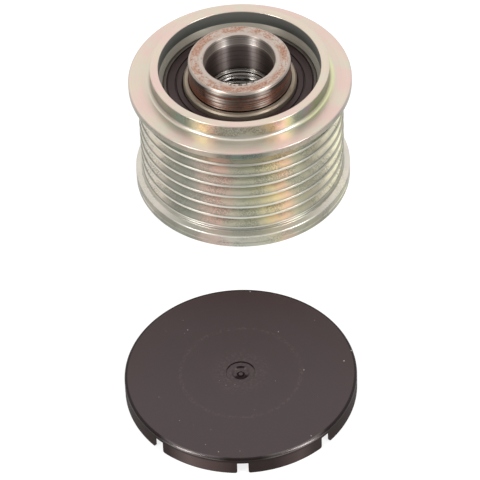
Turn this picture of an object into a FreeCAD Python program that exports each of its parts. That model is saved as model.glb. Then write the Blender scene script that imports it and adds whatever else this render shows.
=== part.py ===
import FreeCAD, Part
import os
import re

import Sketcher

# An overrunning alternator pulley with seven belt grooves, and its clip-on dust cap lying beside it.
# The belt ring drives the hub in one sense through a ramp-and-roller clutch and turns freely in the
# other. Millimetres, +Z up along the pulley's axis. The origin is the centre of the ring's front face,
# which the pulley stands on, so the alternator side is up. "Front" is -Z and "rear" is +Z.

# Driving dimensions: name, value, what it measures.
SIZES = [
    # Hub, from the shaft outwards
    ("thread_radius", 7.188, "minor radius of the M16 x 1.5 thread"),
    ("thread_countersink", 0.912, "countersink round the thread"),
    ("pilot_ledge", 0.4, "ledge between countersink and pilot bore"),
    ("mouth_relief", 0.44, "hub bore's mouth beyond the pilot bore"),
    ("hub_wall", 3.66, "wall of the hub at that mouth"),
    ("hub_recess", 0.8, "hub end behind the front face"),
    ("hub_nose_reach", 2.03, "hub nose beyond the collar"),
    ("hub_bevel", 0.5, "bevel on the hub's outer edges"),
    ("mouth_bevel", 0.3, "bevel at the mouth"),
    ("mouth_depth", 2.47, "length of the mouth"),
    ("pilot_depth", 10.83, "hub nose to the floor of the pilot bore"),
    ("socket_step", 1.212, "drive socket beyond the thread"),
    ("socket_depth", 10.2, "depth of the drive socket"),
    ("socket_tooth_count", 33, "teeth of the drive socket"),
    ("socket_tooth_height", 0.65, "height of a tooth"),
    ("socket_gap_width", 1.2, "gap between two tooth tips"),
    ("socket_root_width", 0.35, "gap between two tooth roots"),
    # Sleeve and the rolling space outside it
    ("sleeve_wall", 1.4, "wall of the sleeve"),
    ("sleeve_proud", 1.2, "sleeve end above the rear seal"),
    ("sleeve_bevel", 0.35, "bevel on the sleeve's outer edge"),
    ("roller_space", 2.6, "from inner to outer raceway"),
    ("roller_clearance", 0.03, "from a roller to each raceway"),
    ("cage_clearance", 0.3, "from a cage to each raceway"),
    ("cage_end_bar", 0.5, "ring at each end of a cage"),
    ("pocket_clearance", 0.1, "around a roller in its pocket"),
    ("end_clearance", 0.1, "between neighbours along the axis"),
    ("needle_count", 10, "needle rollers in each bearing row"),
    ("needle_length", 4.8, "length of a needle roller"),
    # Clutch cup and clutch
    ("cup_wall", 1.4, "wall of the clutch cup"),
    ("cup_lip", 0.8, "thickness of the cup's end lips"),
    ("cup_lip_clearance", 1.2, "from the sleeve to the hole in each lip"),
    ("clutch_roller_count", 8, "rollers of the one-way clutch"),
    ("ramp_angle", 5, "ramp against the tangent"),
    ("ramp_wide_reach", 2.6, "ramp beyond a roller, spring side"),
    ("clutch_pocket_narrow", 1.6, "cage pocket beyond a roller, locking side"),
    ("clutch_pocket_wide", 3.7, "cage pocket beyond a roller, spring side"),
    ("clutch_cage_fit", 0.05, "from the clutch cage to the cup"),
    ("spring_thickness", 0.12, "strip of the clutch springs"),
    ("spring_fold", 0.17, "strip measured across the slant of its fold"),
    # Thrust washers and seals
    ("washer_width", 2.9, "thrust washers, bore to rim"),
    ("washer_thickness", 0.8, "thrust washers"),
    ("washer_clearance", 0.2, "from a thrust washer to the cup"),
    ("washer_seal_gap", 0.3, "from a thrust washer to the seal"),
    ("seal_shoulder", 1.1, "seal seats beyond the cup's seat"),
    ("seal_depth", 2.9, "axial depth of a seal"),
    ("front_seal_recess", 1.3, "front seal behind the front face"),
    ("seal_case_wall", 0.95, "rolled rim of a seal's steel case"),
    ("seal_case_floor", 0.6, "floor of a seal's steel case"),
    ("seal_case_clearance", 1.6, "from the sleeve to the hole in the case floor"),
    ("seal_face_recess", 0.2, "rubber face below the case rim"),
    ("seal_lip_clearance", 0.05, "from the lip to the sleeve"),
    ("seal_lip_width", 1.2, "height of the lip at the sleeve"),
    # Belt ring: rear collar and flange
    ("collar_relief", 0.9, "collar bore beyond the seal seat"),
    ("collar_wall", 2.14, "wall of the rear collar"),
    ("collar_height", 3.92, "collar above the rear flange"),
    ("collar_bore_depth", 3.6, "straight depth of its bore"),
    ("lead_in_height", 1.5, "cone that leads the rear seal into its seat"),
    ("rear_flange_reach", 2.08, "rear flange beyond the ridges"),
    ("rear_flange_rim", 1.7, "thickness of the rear flange at its rim"),
    # Belt ring: grooves
    ("ring_wall", 4.37, "wall between the cup's seat and the groove floors"),
    ("groove_count", 7, "grooves of the ribbed belt"),
    ("groove_pitch", 3.56, "from one groove to the next"),
    ("groove_angle", 40, "between the two flanks of a groove"),
    ("groove_depth", 3.1, "from ridge to groove floor"),
    ("ridge_land", 0.6, "flat on top of each ridge"),
    # Belt ring: front flange
    ("front_flange_reach", 1.48, "front flange beyond the ridges"),
    ("front_flange_rim", 3.5, "straight height of its rim"),
    ("front_flange_slope", 0.5, "height of the slope behind the rim"),
    ("front_ridge_land", 1.3, "flat between that slope and the first groove"),
    # Dust cap
    ("cap_clearance", 0.03, "from the cap's skirt to the front flange"),
    ("cap_skirt", 0.53, "wall of the skirt"),
    ("cap_height", 4.59, "whole height of the cap"),
    ("cap_top", 1.3, "thickness of the cap's disc"),
    ("cap_edge_bevel", 0.48, "bevel on the cap's edge"),
    ("cap_notch_count", 8, "notches in the skirt"),
    ("cap_notch_width", 2.64, "width of a notch"),
    ("cap_notch_height", 3.3, "height of a notch"),
    ("cap_notch_bevel", 0.45, "bevel at each mouth of a notch"),
    ("gate_recess_radius", 3.55, "shallow recess round the moulding gate"),
    ("gate_recess_depth", 0.2, "depth of that recess"),
    ("gate_stub_radius", 0.75, "stub left by the moulding gate"),
    ("gate_stub_height", 0.12, "height of the stub"),
    ("cap_place_x", -2.56, "cap centre beside the pulley, to the right"),
    ("cap_gap", 18.2, "from the cap to the pulley's rear flange, seen from above"),
    ("cap_turn", -0.7, "cap turned about its own axis"),
]

# Radii and heights that follow from the driving dimensions, worked out in the sheet's own terms.
# Radii from the shaft outwards
COUNTERSINK_RADIUS = "(thread_radius + thread_countersink)"
PILOT_RADIUS = f"({COUNTERSINK_RADIUS} + pilot_ledge)"
MOUTH_RADIUS = f"({PILOT_RADIUS} + mouth_relief)"
HUB_RADIUS = f"({MOUTH_RADIUS} + hub_wall)"
SOCKET_RADIUS = "(thread_radius + socket_step)"
SLEEVE_RADIUS = f"({HUB_RADIUS} + sleeve_wall)"
ROLLER_RADIUS = "(roller_space / 2 - roller_clearance)"
PITCH_RADIUS = f"({SLEEVE_RADIUS} + roller_space / 2)"
RACEWAY_RADIUS = f"({SLEEVE_RADIUS} + roller_space)"
CAGE_INNER = f"({SLEEVE_RADIUS} + cage_clearance)"
CAGE_OUTER = f"({RACEWAY_RADIUS} - cage_clearance)"
CLUTCH_CAGE_OUTER = f"({RACEWAY_RADIUS} - clutch_cage_fit)"
CUP_LIP_RADIUS = f"({SLEEVE_RADIUS} + cup_lip_clearance)"
CUP_RADIUS = f"({RACEWAY_RADIUS} + cup_wall)"
SEAL_RADIUS = f"({CUP_RADIUS} + seal_shoulder)"
SEAL_RIM_RADIUS = f"({SEAL_RADIUS} - seal_case_wall)"
SEAL_HOLE_RADIUS = f"({SLEEVE_RADIUS} + seal_case_clearance)"
COLLAR_BORE_RADIUS = f"({SEAL_RADIUS} + collar_relief)"
COLLAR_RADIUS = f"({COLLAR_BORE_RADIUS} + collar_wall)"
FLOOR_RADIUS = f"({CUP_RADIUS} + ring_wall)"
RIDGE_RADIUS = f"({FLOOR_RADIUS} + groove_depth)"
FRONT_FLANGE_RADIUS = f"({RIDGE_RADIUS} + front_flange_reach)"
REAR_FLANGE_RADIUS = f"({RIDGE_RADIUS} + rear_flange_reach)"
SKIRT_INNER = f"({FRONT_FLANGE_RADIUS} + cap_clearance)"
CAP_RADIUS = f"({SKIRT_INNER} + cap_skirt)"
# Belt ring, from the front face to the collar's top
FLANK_SLOPE = "tan(groove_angle / 2)"
MOUTH_HALF = "((groove_pitch - ridge_land) / 2)"
FLOOR_HALF = f"({MOUTH_HALF} - groove_depth * {FLANK_SLOPE})"
SLOPE_TOP = "(front_flange_rim + front_flange_slope)"
FIRST_GROOVE = f"({SLOPE_TOP} + front_ridge_land + {MOUTH_HALF})"
GROOVE_SPAN = "((groove_count - 1) * groove_pitch)"
REAR_FLANK_FOOT = f"({FIRST_GROOVE} + {GROOVE_SPAN} + {MOUTH_HALF})"
REAR_RIM_EDGE = f"({REAR_FLANK_FOOT} + rear_flange_reach * {FLANK_SLOPE})"
REAR_FACE = f"({REAR_RIM_EDGE} + rear_flange_rim)"
COLLAR_TOP = f"({REAR_FACE} + collar_height)"
COLLAR_FLOOR = f"({COLLAR_TOP} - collar_bore_depth)"
# Seals, thrust washers and the cup, from both ends inwards
REAR_SEAL_TOP = f"({COLLAR_FLOOR} - lead_in_height)"
REAR_SEAL_FLOOR = f"({REAR_SEAL_TOP} - seal_depth)"
FRONT_SEAL_FLOOR = "(front_seal_recess + seal_depth)"
FRONT_WASHER_START = f"({FRONT_SEAL_FLOOR} + washer_seal_gap)"
REAR_WASHER_START = f"({REAR_SEAL_FLOOR} - washer_seal_gap - washer_thickness)"
CUP_START = f"({FRONT_WASHER_START} + washer_thickness + washer_clearance)"
CUP_END = f"({REAR_WASHER_START} - washer_clearance)"
# Rolling rows inside the cup
CAGE_LENGTH = "(needle_length + 2 * (cage_end_bar + pocket_clearance))"
FRONT_CAGE_START = f"({CUP_START} + cup_lip + end_clearance)"
REAR_CAGE_START = f"({CUP_END} - cup_lip - end_clearance - {CAGE_LENGTH})"
CLUTCH_START = f"({FRONT_CAGE_START} + {CAGE_LENGTH} + end_clearance)"
CLUTCH_END = f"({REAR_CAGE_START} - end_clearance)"
CLUTCH_LENGTH = f"({CLUTCH_END} - {CLUTCH_START})"
# Hub and sleeve
HUB_TOP = f"({COLLAR_TOP} + hub_nose_reach)"
PILOT_FLOOR = f"({HUB_TOP} - pilot_depth)"
SOCKET_END = "(hub_recess + socket_depth)"
SLEEVE_END = f"({REAR_SEAL_TOP} + sleeve_proud)"

document = FreeCAD.newDocument("alternator_pulley")
sheet = document.addObject("Spreadsheet::Sheet", "Sizes")
for row, (name, size, meaning) in enumerate(SIZES, start=1):
    sheet.set(f"A{row}", name)
    sheet.set(f"B{row}", str(size))
    sheet.set(f"C{row}", meaning)
    sheet.setAlias(f"B{row}", name)
document.recompute()

ALIASES = {name for name, _, _ in SIZES}


def bound(formula):
    """The formula with each size's name led by the name of the sheet."""
    return re.sub(r"[a-z_]+", lambda word: f"Sizes.{word[0]}" if word[0] in ALIASES else word[0], formula)


def value(formula):
    """What the formula comes to now."""
    return float(sheet.evalExpression(bound(formula)))


def origin_feature(body, role):
    """One of the body's own origin planes or axes."""
    return next(item for item in body.Origin.OriginFeatures if item.Role == role)


def new_body(label):
    """An empty body whose label names its node."""
    body = document.addObject("PartDesign::Body", label)
    body.Label = label
    return body


def new_sketch(body, name, plane, height=None):
    """A sketch on one of the body's origin planes, lifted along that plane's normal if height is given."""
    sketch = body.newObject("Sketcher::SketchObject", f"{body.Label}_{name}")
    sketch.AttachmentSupport = [(origin_feature(body, plane), "")]
    sketch.MapMode = "FlatFace"
    if height is not None:
        sketch.AttachmentOffset = FreeCAD.Placement(FreeCAD.Vector(0, 0, value(height)), FreeCAD.Rotation())
        sketch.setExpression("AttachmentOffset.Base.z", bound(height))
    return sketch


def pin_point(sketch, edge, end, formulas):
    """Tie one end of an edge to the two formulas, or to an axis where a formula is 0."""
    for kind, axis, formula in (("DistanceX", -2, formulas[0]), ("DistanceY", -1, formulas[1])):
        if formula == "0":
            sketch.addConstraint(Sketcher.Constraint("PointOnObject", edge, end, axis))
            continue
        index = sketch.addConstraint(Sketcher.Constraint(kind, -1, 1, edge, end, value(formula)))
        sketch.setExpression(f"Constraints[{index}]", bound(formula))


def draw_outline(sketch, corners):
    """Close a chain of straight edges through the corners, each an (across, up) pair of formulas."""
    points = [FreeCAD.Vector(value(across), value(up), 0) for across, up in corners]
    edges = [
        sketch.addGeometry(Part.LineSegment(start, end))
        for start, end in zip(points, points[1:] + points[:1])
    ]
    for index, edge in enumerate(edges):
        sketch.addConstraint(Sketcher.Constraint("Coincident", edges[index - 1], 2, edge, 1))
        pin_point(sketch, edge, 1, corners[index])
    return sketch


def turned(body, name, corners, kind="PartDesign::Revolution"):
    """Turn an outline of radius and height about the body's axis, adding or, as a groove, cutting."""
    sketch = draw_outline(new_sketch(body, f"{name}_outline", "XZ_Plane"), corners)
    feature = body.newObject(kind, f"{body.Label}_{name}")
    feature.Profile = sketch
    feature.ReferenceAxis = (sketch, ["V_Axis"])
    feature.Angle = 360
    return feature


def pocket(body, name, sketch, length, towards_normal=False):
    """Cut the sketch's outline out of the body over a length."""
    feature = body.newObject("PartDesign::Pocket", f"{body.Label}_{name}")
    feature.Profile = sketch
    feature.setExpression("Length", bound(length))
    feature.Reversed = towards_normal
    return feature


def repeat_round(body, feature, count):
    """Repeat the feature evenly round the body's axis."""
    pattern = body.newObject("PartDesign::PolarPattern", f"{feature.Name}_pattern")
    pattern.Originals = [feature]
    pattern.Axis = (origin_feature(body, "Z_Axis"), [""])
    pattern.Angle = 360
    pattern.setExpression("Occurrences", bound(count))
    body.Tip = pattern
    return pattern


def volume_of(body):
    """The body's volume after a recompute."""
    document.recompute()
    return body.Shape.Volume


def check_cut(body, before):
    """A cut that points away from the solid takes nothing and shows no error, so compare volumes."""
    after = volume_of(body)
    if not after < before:
        raise RuntimeError(f"{body.Label}: the cut removed nothing")


def make_pulley_ring():
    """Steel belt ring: grooves and flanges outside, seal seats and cup seat inside."""
    body = new_body("pulley_ring")
    turned(body, "blank", [
        (SEAL_RADIUS, "0"),
        (FRONT_FLANGE_RADIUS, "0"),
        (FRONT_FLANGE_RADIUS, "front_flange_rim"),
        (RIDGE_RADIUS, SLOPE_TOP),
        (RIDGE_RADIUS, REAR_FLANK_FOOT),
        (REAR_FLANGE_RADIUS, REAR_RIM_EDGE),
        (REAR_FLANGE_RADIUS, REAR_FACE),
        (COLLAR_RADIUS, REAR_FACE),
        (COLLAR_RADIUS, COLLAR_TOP),
        (COLLAR_BORE_RADIUS, COLLAR_TOP),
        (COLLAR_BORE_RADIUS, COLLAR_FLOOR),
        (SEAL_RADIUS, REAR_SEAL_TOP),
        (SEAL_RADIUS, REAR_SEAL_FLOOR),
        (CUP_RADIUS, REAR_SEAL_FLOOR),
        (CUP_RADIUS, FRONT_SEAL_FLOOR),
        (SEAL_RADIUS, FRONT_SEAL_FLOOR),
    ])
    before = volume_of(body)
    clear_of_ridge = f"({RIDGE_RADIUS} + groove_depth / 4)"
    groove = turned(body, "groove", [
        (FLOOR_RADIUS, f"{FIRST_GROOVE} - {FLOOR_HALF}"),
        (RIDGE_RADIUS, f"{FIRST_GROOVE} - {MOUTH_HALF}"),
        (clear_of_ridge, f"{FIRST_GROOVE} - {MOUTH_HALF}"),
        (clear_of_ridge, f"{FIRST_GROOVE} + {MOUTH_HALF}"),
        (RIDGE_RADIUS, f"{FIRST_GROOVE} + {MOUTH_HALF}"),
        (FLOOR_RADIUS, f"{FIRST_GROOVE} + {FLOOR_HALF}"),
    ], kind="PartDesign::Groove")
    rows = body.newObject("PartDesign::LinearPattern", "pulley_ring_groove_rows")
    rows.Originals = [groove]
    rows.Direction = (origin_feature(body, "Z_Axis"), [""])
    rows.setExpression("Length", bound(GROOVE_SPAN))
    rows.setExpression("Occurrences", bound("groove_count"))
    body.Tip = rows
    check_cut(body, before)
    return body


def make_hub_shaft():
    """Steel hub: pilot bore and thread for the shaft from the rear, toothed drive socket in front."""
    body = new_body("hub_shaft")
    turned(body, "blank", [
        (SOCKET_RADIUS, "hub_recess"),
        (HUB_RADIUS, "hub_recess"),
        (HUB_RADIUS, f"{HUB_TOP} - hub_bevel"),
        (f"{HUB_RADIUS} - hub_bevel", HUB_TOP),
        (f"{MOUTH_RADIUS} + mouth_bevel", HUB_TOP),
        (MOUTH_RADIUS, f"{HUB_TOP} - mouth_bevel"),
        (MOUTH_RADIUS, f"{HUB_TOP} - mouth_depth"),
        (PILOT_RADIUS, f"{HUB_TOP} - mouth_depth - mouth_relief"),
        (PILOT_RADIUS, PILOT_FLOOR),
        (COUNTERSINK_RADIUS, PILOT_FLOOR),
        ("thread_radius", f"{PILOT_FLOOR} - thread_countersink"),
        ("thread_radius", SOCKET_END),
        (SOCKET_RADIUS, SOCKET_END),
    ])
    before = volume_of(body)
    inside = f"{SOCKET_RADIUS} - socket_step / 2"
    root = f"{SOCKET_RADIUS} + socket_tooth_height"
    gap = draw_outline(new_sketch(body, "tooth_gap_outline", "XY_Plane", SOCKET_END), [
        (inside, "-socket_gap_width / 2"),
        (SOCKET_RADIUS, "-socket_gap_width / 2"),
        (root, "-socket_root_width / 2"),
        (root, "socket_root_width / 2"),
        (SOCKET_RADIUS, "socket_gap_width / 2"),
        (inside, "socket_gap_width / 2"),
    ])
    repeat_round(body, pocket(body, "tooth_gap", gap, "socket_depth"), "socket_tooth_count")
    check_cut(body, before)
    return body


def make_raceway_sleeve():
    """Hardened sleeve pressed on the hub, the inner raceway of all three rows."""
    body = new_body("raceway_sleeve")
    turned(body, "wall", [
        (HUB_RADIUS, "hub_recess + hub_bevel"),
        (SLEEVE_RADIUS, "hub_recess + hub_bevel"),
        (SLEEVE_RADIUS, f"{SLEEVE_END} - sleeve_bevel"),
        (f"{SLEEVE_RADIUS} - sleeve_bevel", SLEEVE_END),
        (HUB_RADIUS, SLEEVE_END),
    ])
    return body


def make_clutch_cup():
    """Drawn cup pressed into the ring: raceway at both ends, clutch ramps in the middle."""
    body = new_body("clutch_cup")
    turned(body, "wall", [
        (CUP_LIP_RADIUS, CUP_START),
        (CUP_RADIUS, CUP_START),
        (CUP_RADIUS, CUP_END),
        (CUP_LIP_RADIUS, CUP_END),
        (CUP_LIP_RADIUS, f"{CUP_END} - cup_lip"),
        (RACEWAY_RADIUS, f"{CUP_END} - cup_lip"),
        (RACEWAY_RADIUS, f"{CUP_START} + cup_lip"),
        (CUP_LIP_RADIUS, f"{CUP_START} + cup_lip"),
    ])
    before = volume_of(body)
    # The ramp is a flat that passes each roller at its clearance and leans by the ramp angle. It narrows
    # against the belt ring's driving sense, which is anticlockwise seen from above.
    touch = "(roller_space / 2)"
    narrow = f"({PITCH_RADIUS} + ({touch} - roller_space * sin(ramp_angle)) / cos(ramp_angle))"
    wide = f"({PITCH_RADIUS} + ({touch} + ramp_wide_reach * sin(ramp_angle)) / cos(ramp_angle))"
    ramp = draw_outline(new_sketch(body, "ramp_outline", "XY_Plane", CLUTCH_END), [
        (PITCH_RADIUS, "-roller_space"),
        (narrow, "-roller_space"),
        (wide, "ramp_wide_reach"),
        (PITCH_RADIUS, "ramp_wide_reach"),
    ])
    repeat_round(body, pocket(body, "ramp", ramp, CLUTCH_LENGTH), "clutch_roller_count")
    check_cut(body, before)
    return body


def make_cage(label, start, length, outer, low_side, high_side, count):
    """Moulded cage ring with one window for each roller."""
    body = new_body(label)
    turned(body, "ring", [
        (CAGE_INNER, start),
        (outer, start),
        (outer, f"{start} + {length}"),
        (CAGE_INNER, f"{start} + {length}"),
    ])
    before = volume_of(body)
    window = draw_outline(new_sketch(body, "window_outline", "YZ_Plane"), [
        (low_side, f"{start} + cage_end_bar"),
        (high_side, f"{start} + cage_end_bar"),
        (high_side, f"{start} + {length} - cage_end_bar"),
        (low_side, f"{start} + {length} - cage_end_bar"),
    ])
    repeat_round(body, pocket(body, "window", window, RACEWAY_RADIUS, towards_normal=True), count)
    check_cut(body, before)
    return body


def make_rollers(label, start, length, count):
    """A row of rollers, one solid each."""
    body = new_body(label)
    sketch = new_sketch(body, "roller_outline", "XY_Plane", start)
    centre = FreeCAD.Vector(value(PITCH_RADIUS), 0, 0)
    edge = sketch.addGeometry(Part.Circle(centre, FreeCAD.Vector(0, 0, 1), value(ROLLER_RADIUS)))
    bend = sketch.addConstraint(Sketcher.Constraint("Radius", edge, value(ROLLER_RADIUS)))
    sketch.setExpression(f"Constraints[{bend}]", bound(ROLLER_RADIUS))
    pin_point(sketch, edge, 3, (PITCH_RADIUS, "0"))
    roller = body.newObject("PartDesign::Pad", f"{label}_roller")
    roller.Profile = sketch
    roller.setExpression("Length", bound(length))
    repeat_round(body, roller, count)
    return body


def make_clutch_springs():
    """Folded strips that push each clutch roller up its ramp."""
    body = new_body("clutch_springs")
    inner = f"({CAGE_INNER} + pocket_clearance)"
    outer = f"({CAGE_OUTER} - 3 * pocket_clearance)"
    near = f"({ROLLER_RADIUS} + pocket_clearance)"
    far = "(clutch_pocket_wide - pocket_clearance / 2)"
    lower_end = f"{CLUTCH_START} + cage_end_bar + end_clearance"
    sketch = draw_outline(new_sketch(body, "strip_outline", "XY_Plane", lower_end), [
        (inner, near),
        (outer, near),
        (outer, f"{near} + spring_thickness"),
        (f"{inner} + spring_fold", f"{far} - spring_thickness"),
        (outer, f"{far} - spring_thickness"),
        (outer, far),
        (inner, far),
        (inner, f"{far} - spring_thickness"),
        (f"{outer} - spring_fold", f"{near} + spring_thickness"),
        (inner, f"{near} + spring_thickness"),
    ])
    strip = body.newObject("PartDesign::Pad", "clutch_springs_strip")
    strip.Profile = sketch
    strip.setExpression("Length", bound(f"{CLUTCH_LENGTH} - 2 * (cage_end_bar + end_clearance)"))
    repeat_round(body, strip, "clutch_roller_count")
    return body


def make_thrust_washer(label, start):
    """Flat ring on the sleeve that runs against an end lip of the cup."""
    body = new_body(label)
    turned(body, "ring", [
        (SLEEVE_RADIUS, start),
        (f"{SLEEVE_RADIUS} + washer_width", start),
        (f"{SLEEVE_RADIUS} + washer_width", f"{start} + washer_thickness"),
        (SLEEVE_RADIUS, f"{start} + washer_thickness"),
    ])
    return body


def make_seal_case(label, floor, outwards):
    """Steel case of a seal, pressed into its seat. outwards is + for the rear seal and - for the front."""
    body = new_body(label)
    rim = f"({floor} {outwards} seal_depth)"
    turned(body, "shell", [
        (SEAL_HOLE_RADIUS, floor),
        (SEAL_RADIUS, floor),
        (SEAL_RADIUS, rim),
        (SEAL_RIM_RADIUS, rim),
        (SEAL_RIM_RADIUS, f"{floor} {outwards} seal_case_floor"),
        (SEAL_HOLE_RADIUS, f"{floor} {outwards} seal_case_floor"),
    ])
    return body


def make_seal_rubber(label, floor, outwards):
    """Rubber ring bonded into its case, with its lip round the sleeve."""
    body = new_body(label)
    face = f"({floor} {outwards} (seal_depth - seal_face_recess))"
    lip = f"({SLEEVE_RADIUS} + seal_lip_clearance)"
    turned(body, "ring", [
        (SEAL_HOLE_RADIUS, f"{floor} {outwards} seal_case_floor"),
        (SEAL_RIM_RADIUS, f"{floor} {outwards} seal_case_floor"),
        (SEAL_RIM_RADIUS, face),
        (lip, face),
        (lip, f"{floor} {outwards} (seal_depth - seal_face_recess - seal_lip_width)"),
    ])
    return body


def make_dust_cap():
    """Moulded cap with a notched skirt that clips over the front flange, lying beside the pulley."""
    body = new_body("dust_cap")
    recess_floor = "cap_height - gate_recess_depth"
    turned(body, "shell", [
        ("0", "cap_height - cap_top"),
        (SKIRT_INNER, "cap_height - cap_top"),
        (SKIRT_INNER, "0"),
        (CAP_RADIUS, "0"),
        (CAP_RADIUS, "cap_height - cap_edge_bevel"),
        (f"{CAP_RADIUS} - cap_edge_bevel", "cap_height"),
        ("gate_recess_radius", "cap_height"),
        ("gate_recess_radius", recess_floor),
        ("gate_stub_radius", recess_floor),
        ("gate_stub_radius", f"{recess_floor} + gate_stub_height"),
        ("0", f"{recess_floor} + gate_stub_height"),
    ])
    before = volume_of(body)
    half = "cap_notch_width / 2"
    notch = draw_outline(new_sketch(body, "notch_outline", "YZ_Plane"), [
        (f"-({half} + cap_notch_bevel)", "0"),
        (f"-{half}", "cap_notch_bevel"),
        (f"-{half}", "cap_notch_height"),
        (half, "cap_notch_height"),
        (half, "cap_notch_bevel"),
        (f"{half} + cap_notch_bevel", "0"),
    ])
    cut = pocket(body, "notch", notch, f"{CAP_RADIUS} + cap_skirt", towards_normal=True)
    repeat_round(body, cut, "cap_notch_count")
    check_cut(body, before)
    place_y = f"-({REAR_FLANGE_RADIUS} + cap_gap + {CAP_RADIUS})"
    body.Placement = FreeCAD.Placement(
        FreeCAD.Vector(value("cap_place_x"), value(place_y), 0),
        FreeCAD.Rotation(FreeCAD.Vector(0, 0, 1), value("cap_turn")),
    )
    body.setExpression("Placement.Base.x", bound("cap_place_x"))
    body.setExpression("Placement.Base.y", bound(place_y))
    return body


def make_rolling_rows():
    """The two needle rows and the clutch row between the sleeve and the cup."""
    side = f"({ROLLER_RADIUS} + pocket_clearance)"
    rows = []
    for name, start in (("front", FRONT_CAGE_START), ("rear", REAR_CAGE_START)):
        needle_start = f"{start} + cage_end_bar + pocket_clearance"
        rows.append(make_cage(
            f"{name}_needle_cage", start, CAGE_LENGTH, CAGE_OUTER, f"-{side}", side, "needle_count",
        ))
        rows.append(make_rollers(f"{name}_needles", needle_start, "needle_length", "needle_count"))
    rows.append(make_cage(
        "clutch_cage", CLUTCH_START, CLUTCH_LENGTH, CLUTCH_CAGE_OUTER,
        "-clutch_pocket_narrow", "clutch_pocket_wide", "clutch_roller_count",
    ))
    roller_start = f"{CLUTCH_START} + cage_end_bar + pocket_clearance"
    roller_length = f"{CLUTCH_LENGTH} - 2 * (cage_end_bar + pocket_clearance)"
    rows.append(make_rollers("clutch_rollers", roller_start, roller_length, "clutch_roller_count"))
    rows.append(make_clutch_springs())
    return rows


def make_parts():
    """Every piece of the pulley, from the outside in, and the cap."""
    parts = [make_pulley_ring(), make_hub_shaft(), make_raceway_sleeve(), make_clutch_cup()]
    parts += make_rolling_rows()
    parts.append(make_thrust_washer("front_thrust_washer", FRONT_WASHER_START))
    parts.append(make_thrust_washer("rear_thrust_washer", REAR_WASHER_START))
    for name, floor, outwards in (("front", FRONT_SEAL_FLOOR, "-"), ("rear", REAR_SEAL_FLOOR, "+")):
        parts.append(make_seal_case(f"{name}_seal_case", floor, outwards))
        parts.append(make_seal_rubber(f"{name}_seal_rubber", floor, outwards))
    parts.append(make_dust_cap())
    return parts


def check_and_write(parts):
    """Refuse anything that failed to build, then write one STEP file for each piece."""
    document.recompute()
    for item in document.Objects:
        if "Invalid" in item.State or "Error" in item.State:
            raise RuntimeError(f"{item.Label} is {item.State}")
    for part in parts:
        if part.Shape.isNull() or not part.Shape.isValid() or not part.Shape.Solids:
            raise RuntimeError(f"{part.Label} has no valid solid")
    os.makedirs("parts", exist_ok=True)
    for part in parts:
        part.Shape.exportStep(f"parts/{part.Label}.step")
        box = part.Shape.BoundBox
        print(f"{part.Label}: {len(part.Shape.Solids)} solids, {part.Shape.Volume:.1f} mm3, "
              f"z {box.ZMin:.2f} to {box.ZMax:.2f}, x {box.XMin:.2f} to {box.XMax:.2f}")


check_and_write(make_parts())
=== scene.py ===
"""Finished surfaces, finishes, light and camera for the overrunning alternator pulley and its dust cap.

Lengths in this file are millimetres, with +Z up along the pulley's axis and the origin in its standing face.
They become metres where a mesh is made.
"""
import logging
import math
from dataclasses import Field, dataclass, field
from enum import Enum
from functools import partial, reduce
from typing import Sequence

import bpy
import numpy as np
from mathutils import Matrix, Vector


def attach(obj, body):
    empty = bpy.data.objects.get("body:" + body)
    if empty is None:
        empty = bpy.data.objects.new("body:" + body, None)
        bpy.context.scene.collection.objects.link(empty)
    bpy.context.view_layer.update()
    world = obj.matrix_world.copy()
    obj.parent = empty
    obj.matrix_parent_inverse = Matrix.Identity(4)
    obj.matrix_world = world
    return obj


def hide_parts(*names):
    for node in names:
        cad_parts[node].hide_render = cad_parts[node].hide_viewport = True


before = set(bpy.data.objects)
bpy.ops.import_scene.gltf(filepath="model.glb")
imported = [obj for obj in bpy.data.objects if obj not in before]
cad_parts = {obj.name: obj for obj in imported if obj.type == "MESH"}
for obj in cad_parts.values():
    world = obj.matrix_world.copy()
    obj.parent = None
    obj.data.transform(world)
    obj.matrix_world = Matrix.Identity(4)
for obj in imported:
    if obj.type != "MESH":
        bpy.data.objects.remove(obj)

LOG = logging.getLogger("alternator_pulley")
MM = 0.001
SHARP_CORNER = 1e-4  # A round smaller than this is left out
EDGE_SHARE = 0.46  # The most of an edge that one round takes

Corner = tuple[float, float, float]
Colour = tuple[float, float, float]
Stops = tuple[tuple[float, Colour], ...]
Socket = bpy.types.NodeSocket
Material = bpy.types.Material
Object = bpy.types.Object


class Body(Enum):
    """Rigid bodies that the pieces ride on."""

    RIM = "rim"
    HUB = "hub"


class Facing(Enum):
    """Which way a seal looks out of the belt ring."""

    REAR = 1
    FRONT = -1


def srgb(red: int, green: int, blue: int) -> Colour:
    """Turn a colour of 0 to 255 into linear light.

    Args:
        red: Red part.
        green: Green part.
        blue: Blue part.

    Returns:
        The three linear parts.
    """
    parts = np.array([red, green, blue]) / 255
    linear = np.where(parts <= 0.04045, parts / 12.92, ((parts + 0.055) / 1.055) ** 2.4)
    return tuple(float(part) for part in linear)


def grey(level: float) -> Colour:
    """A colour of three equal parts."""
    return (level,) * 3


# Meshes


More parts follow.
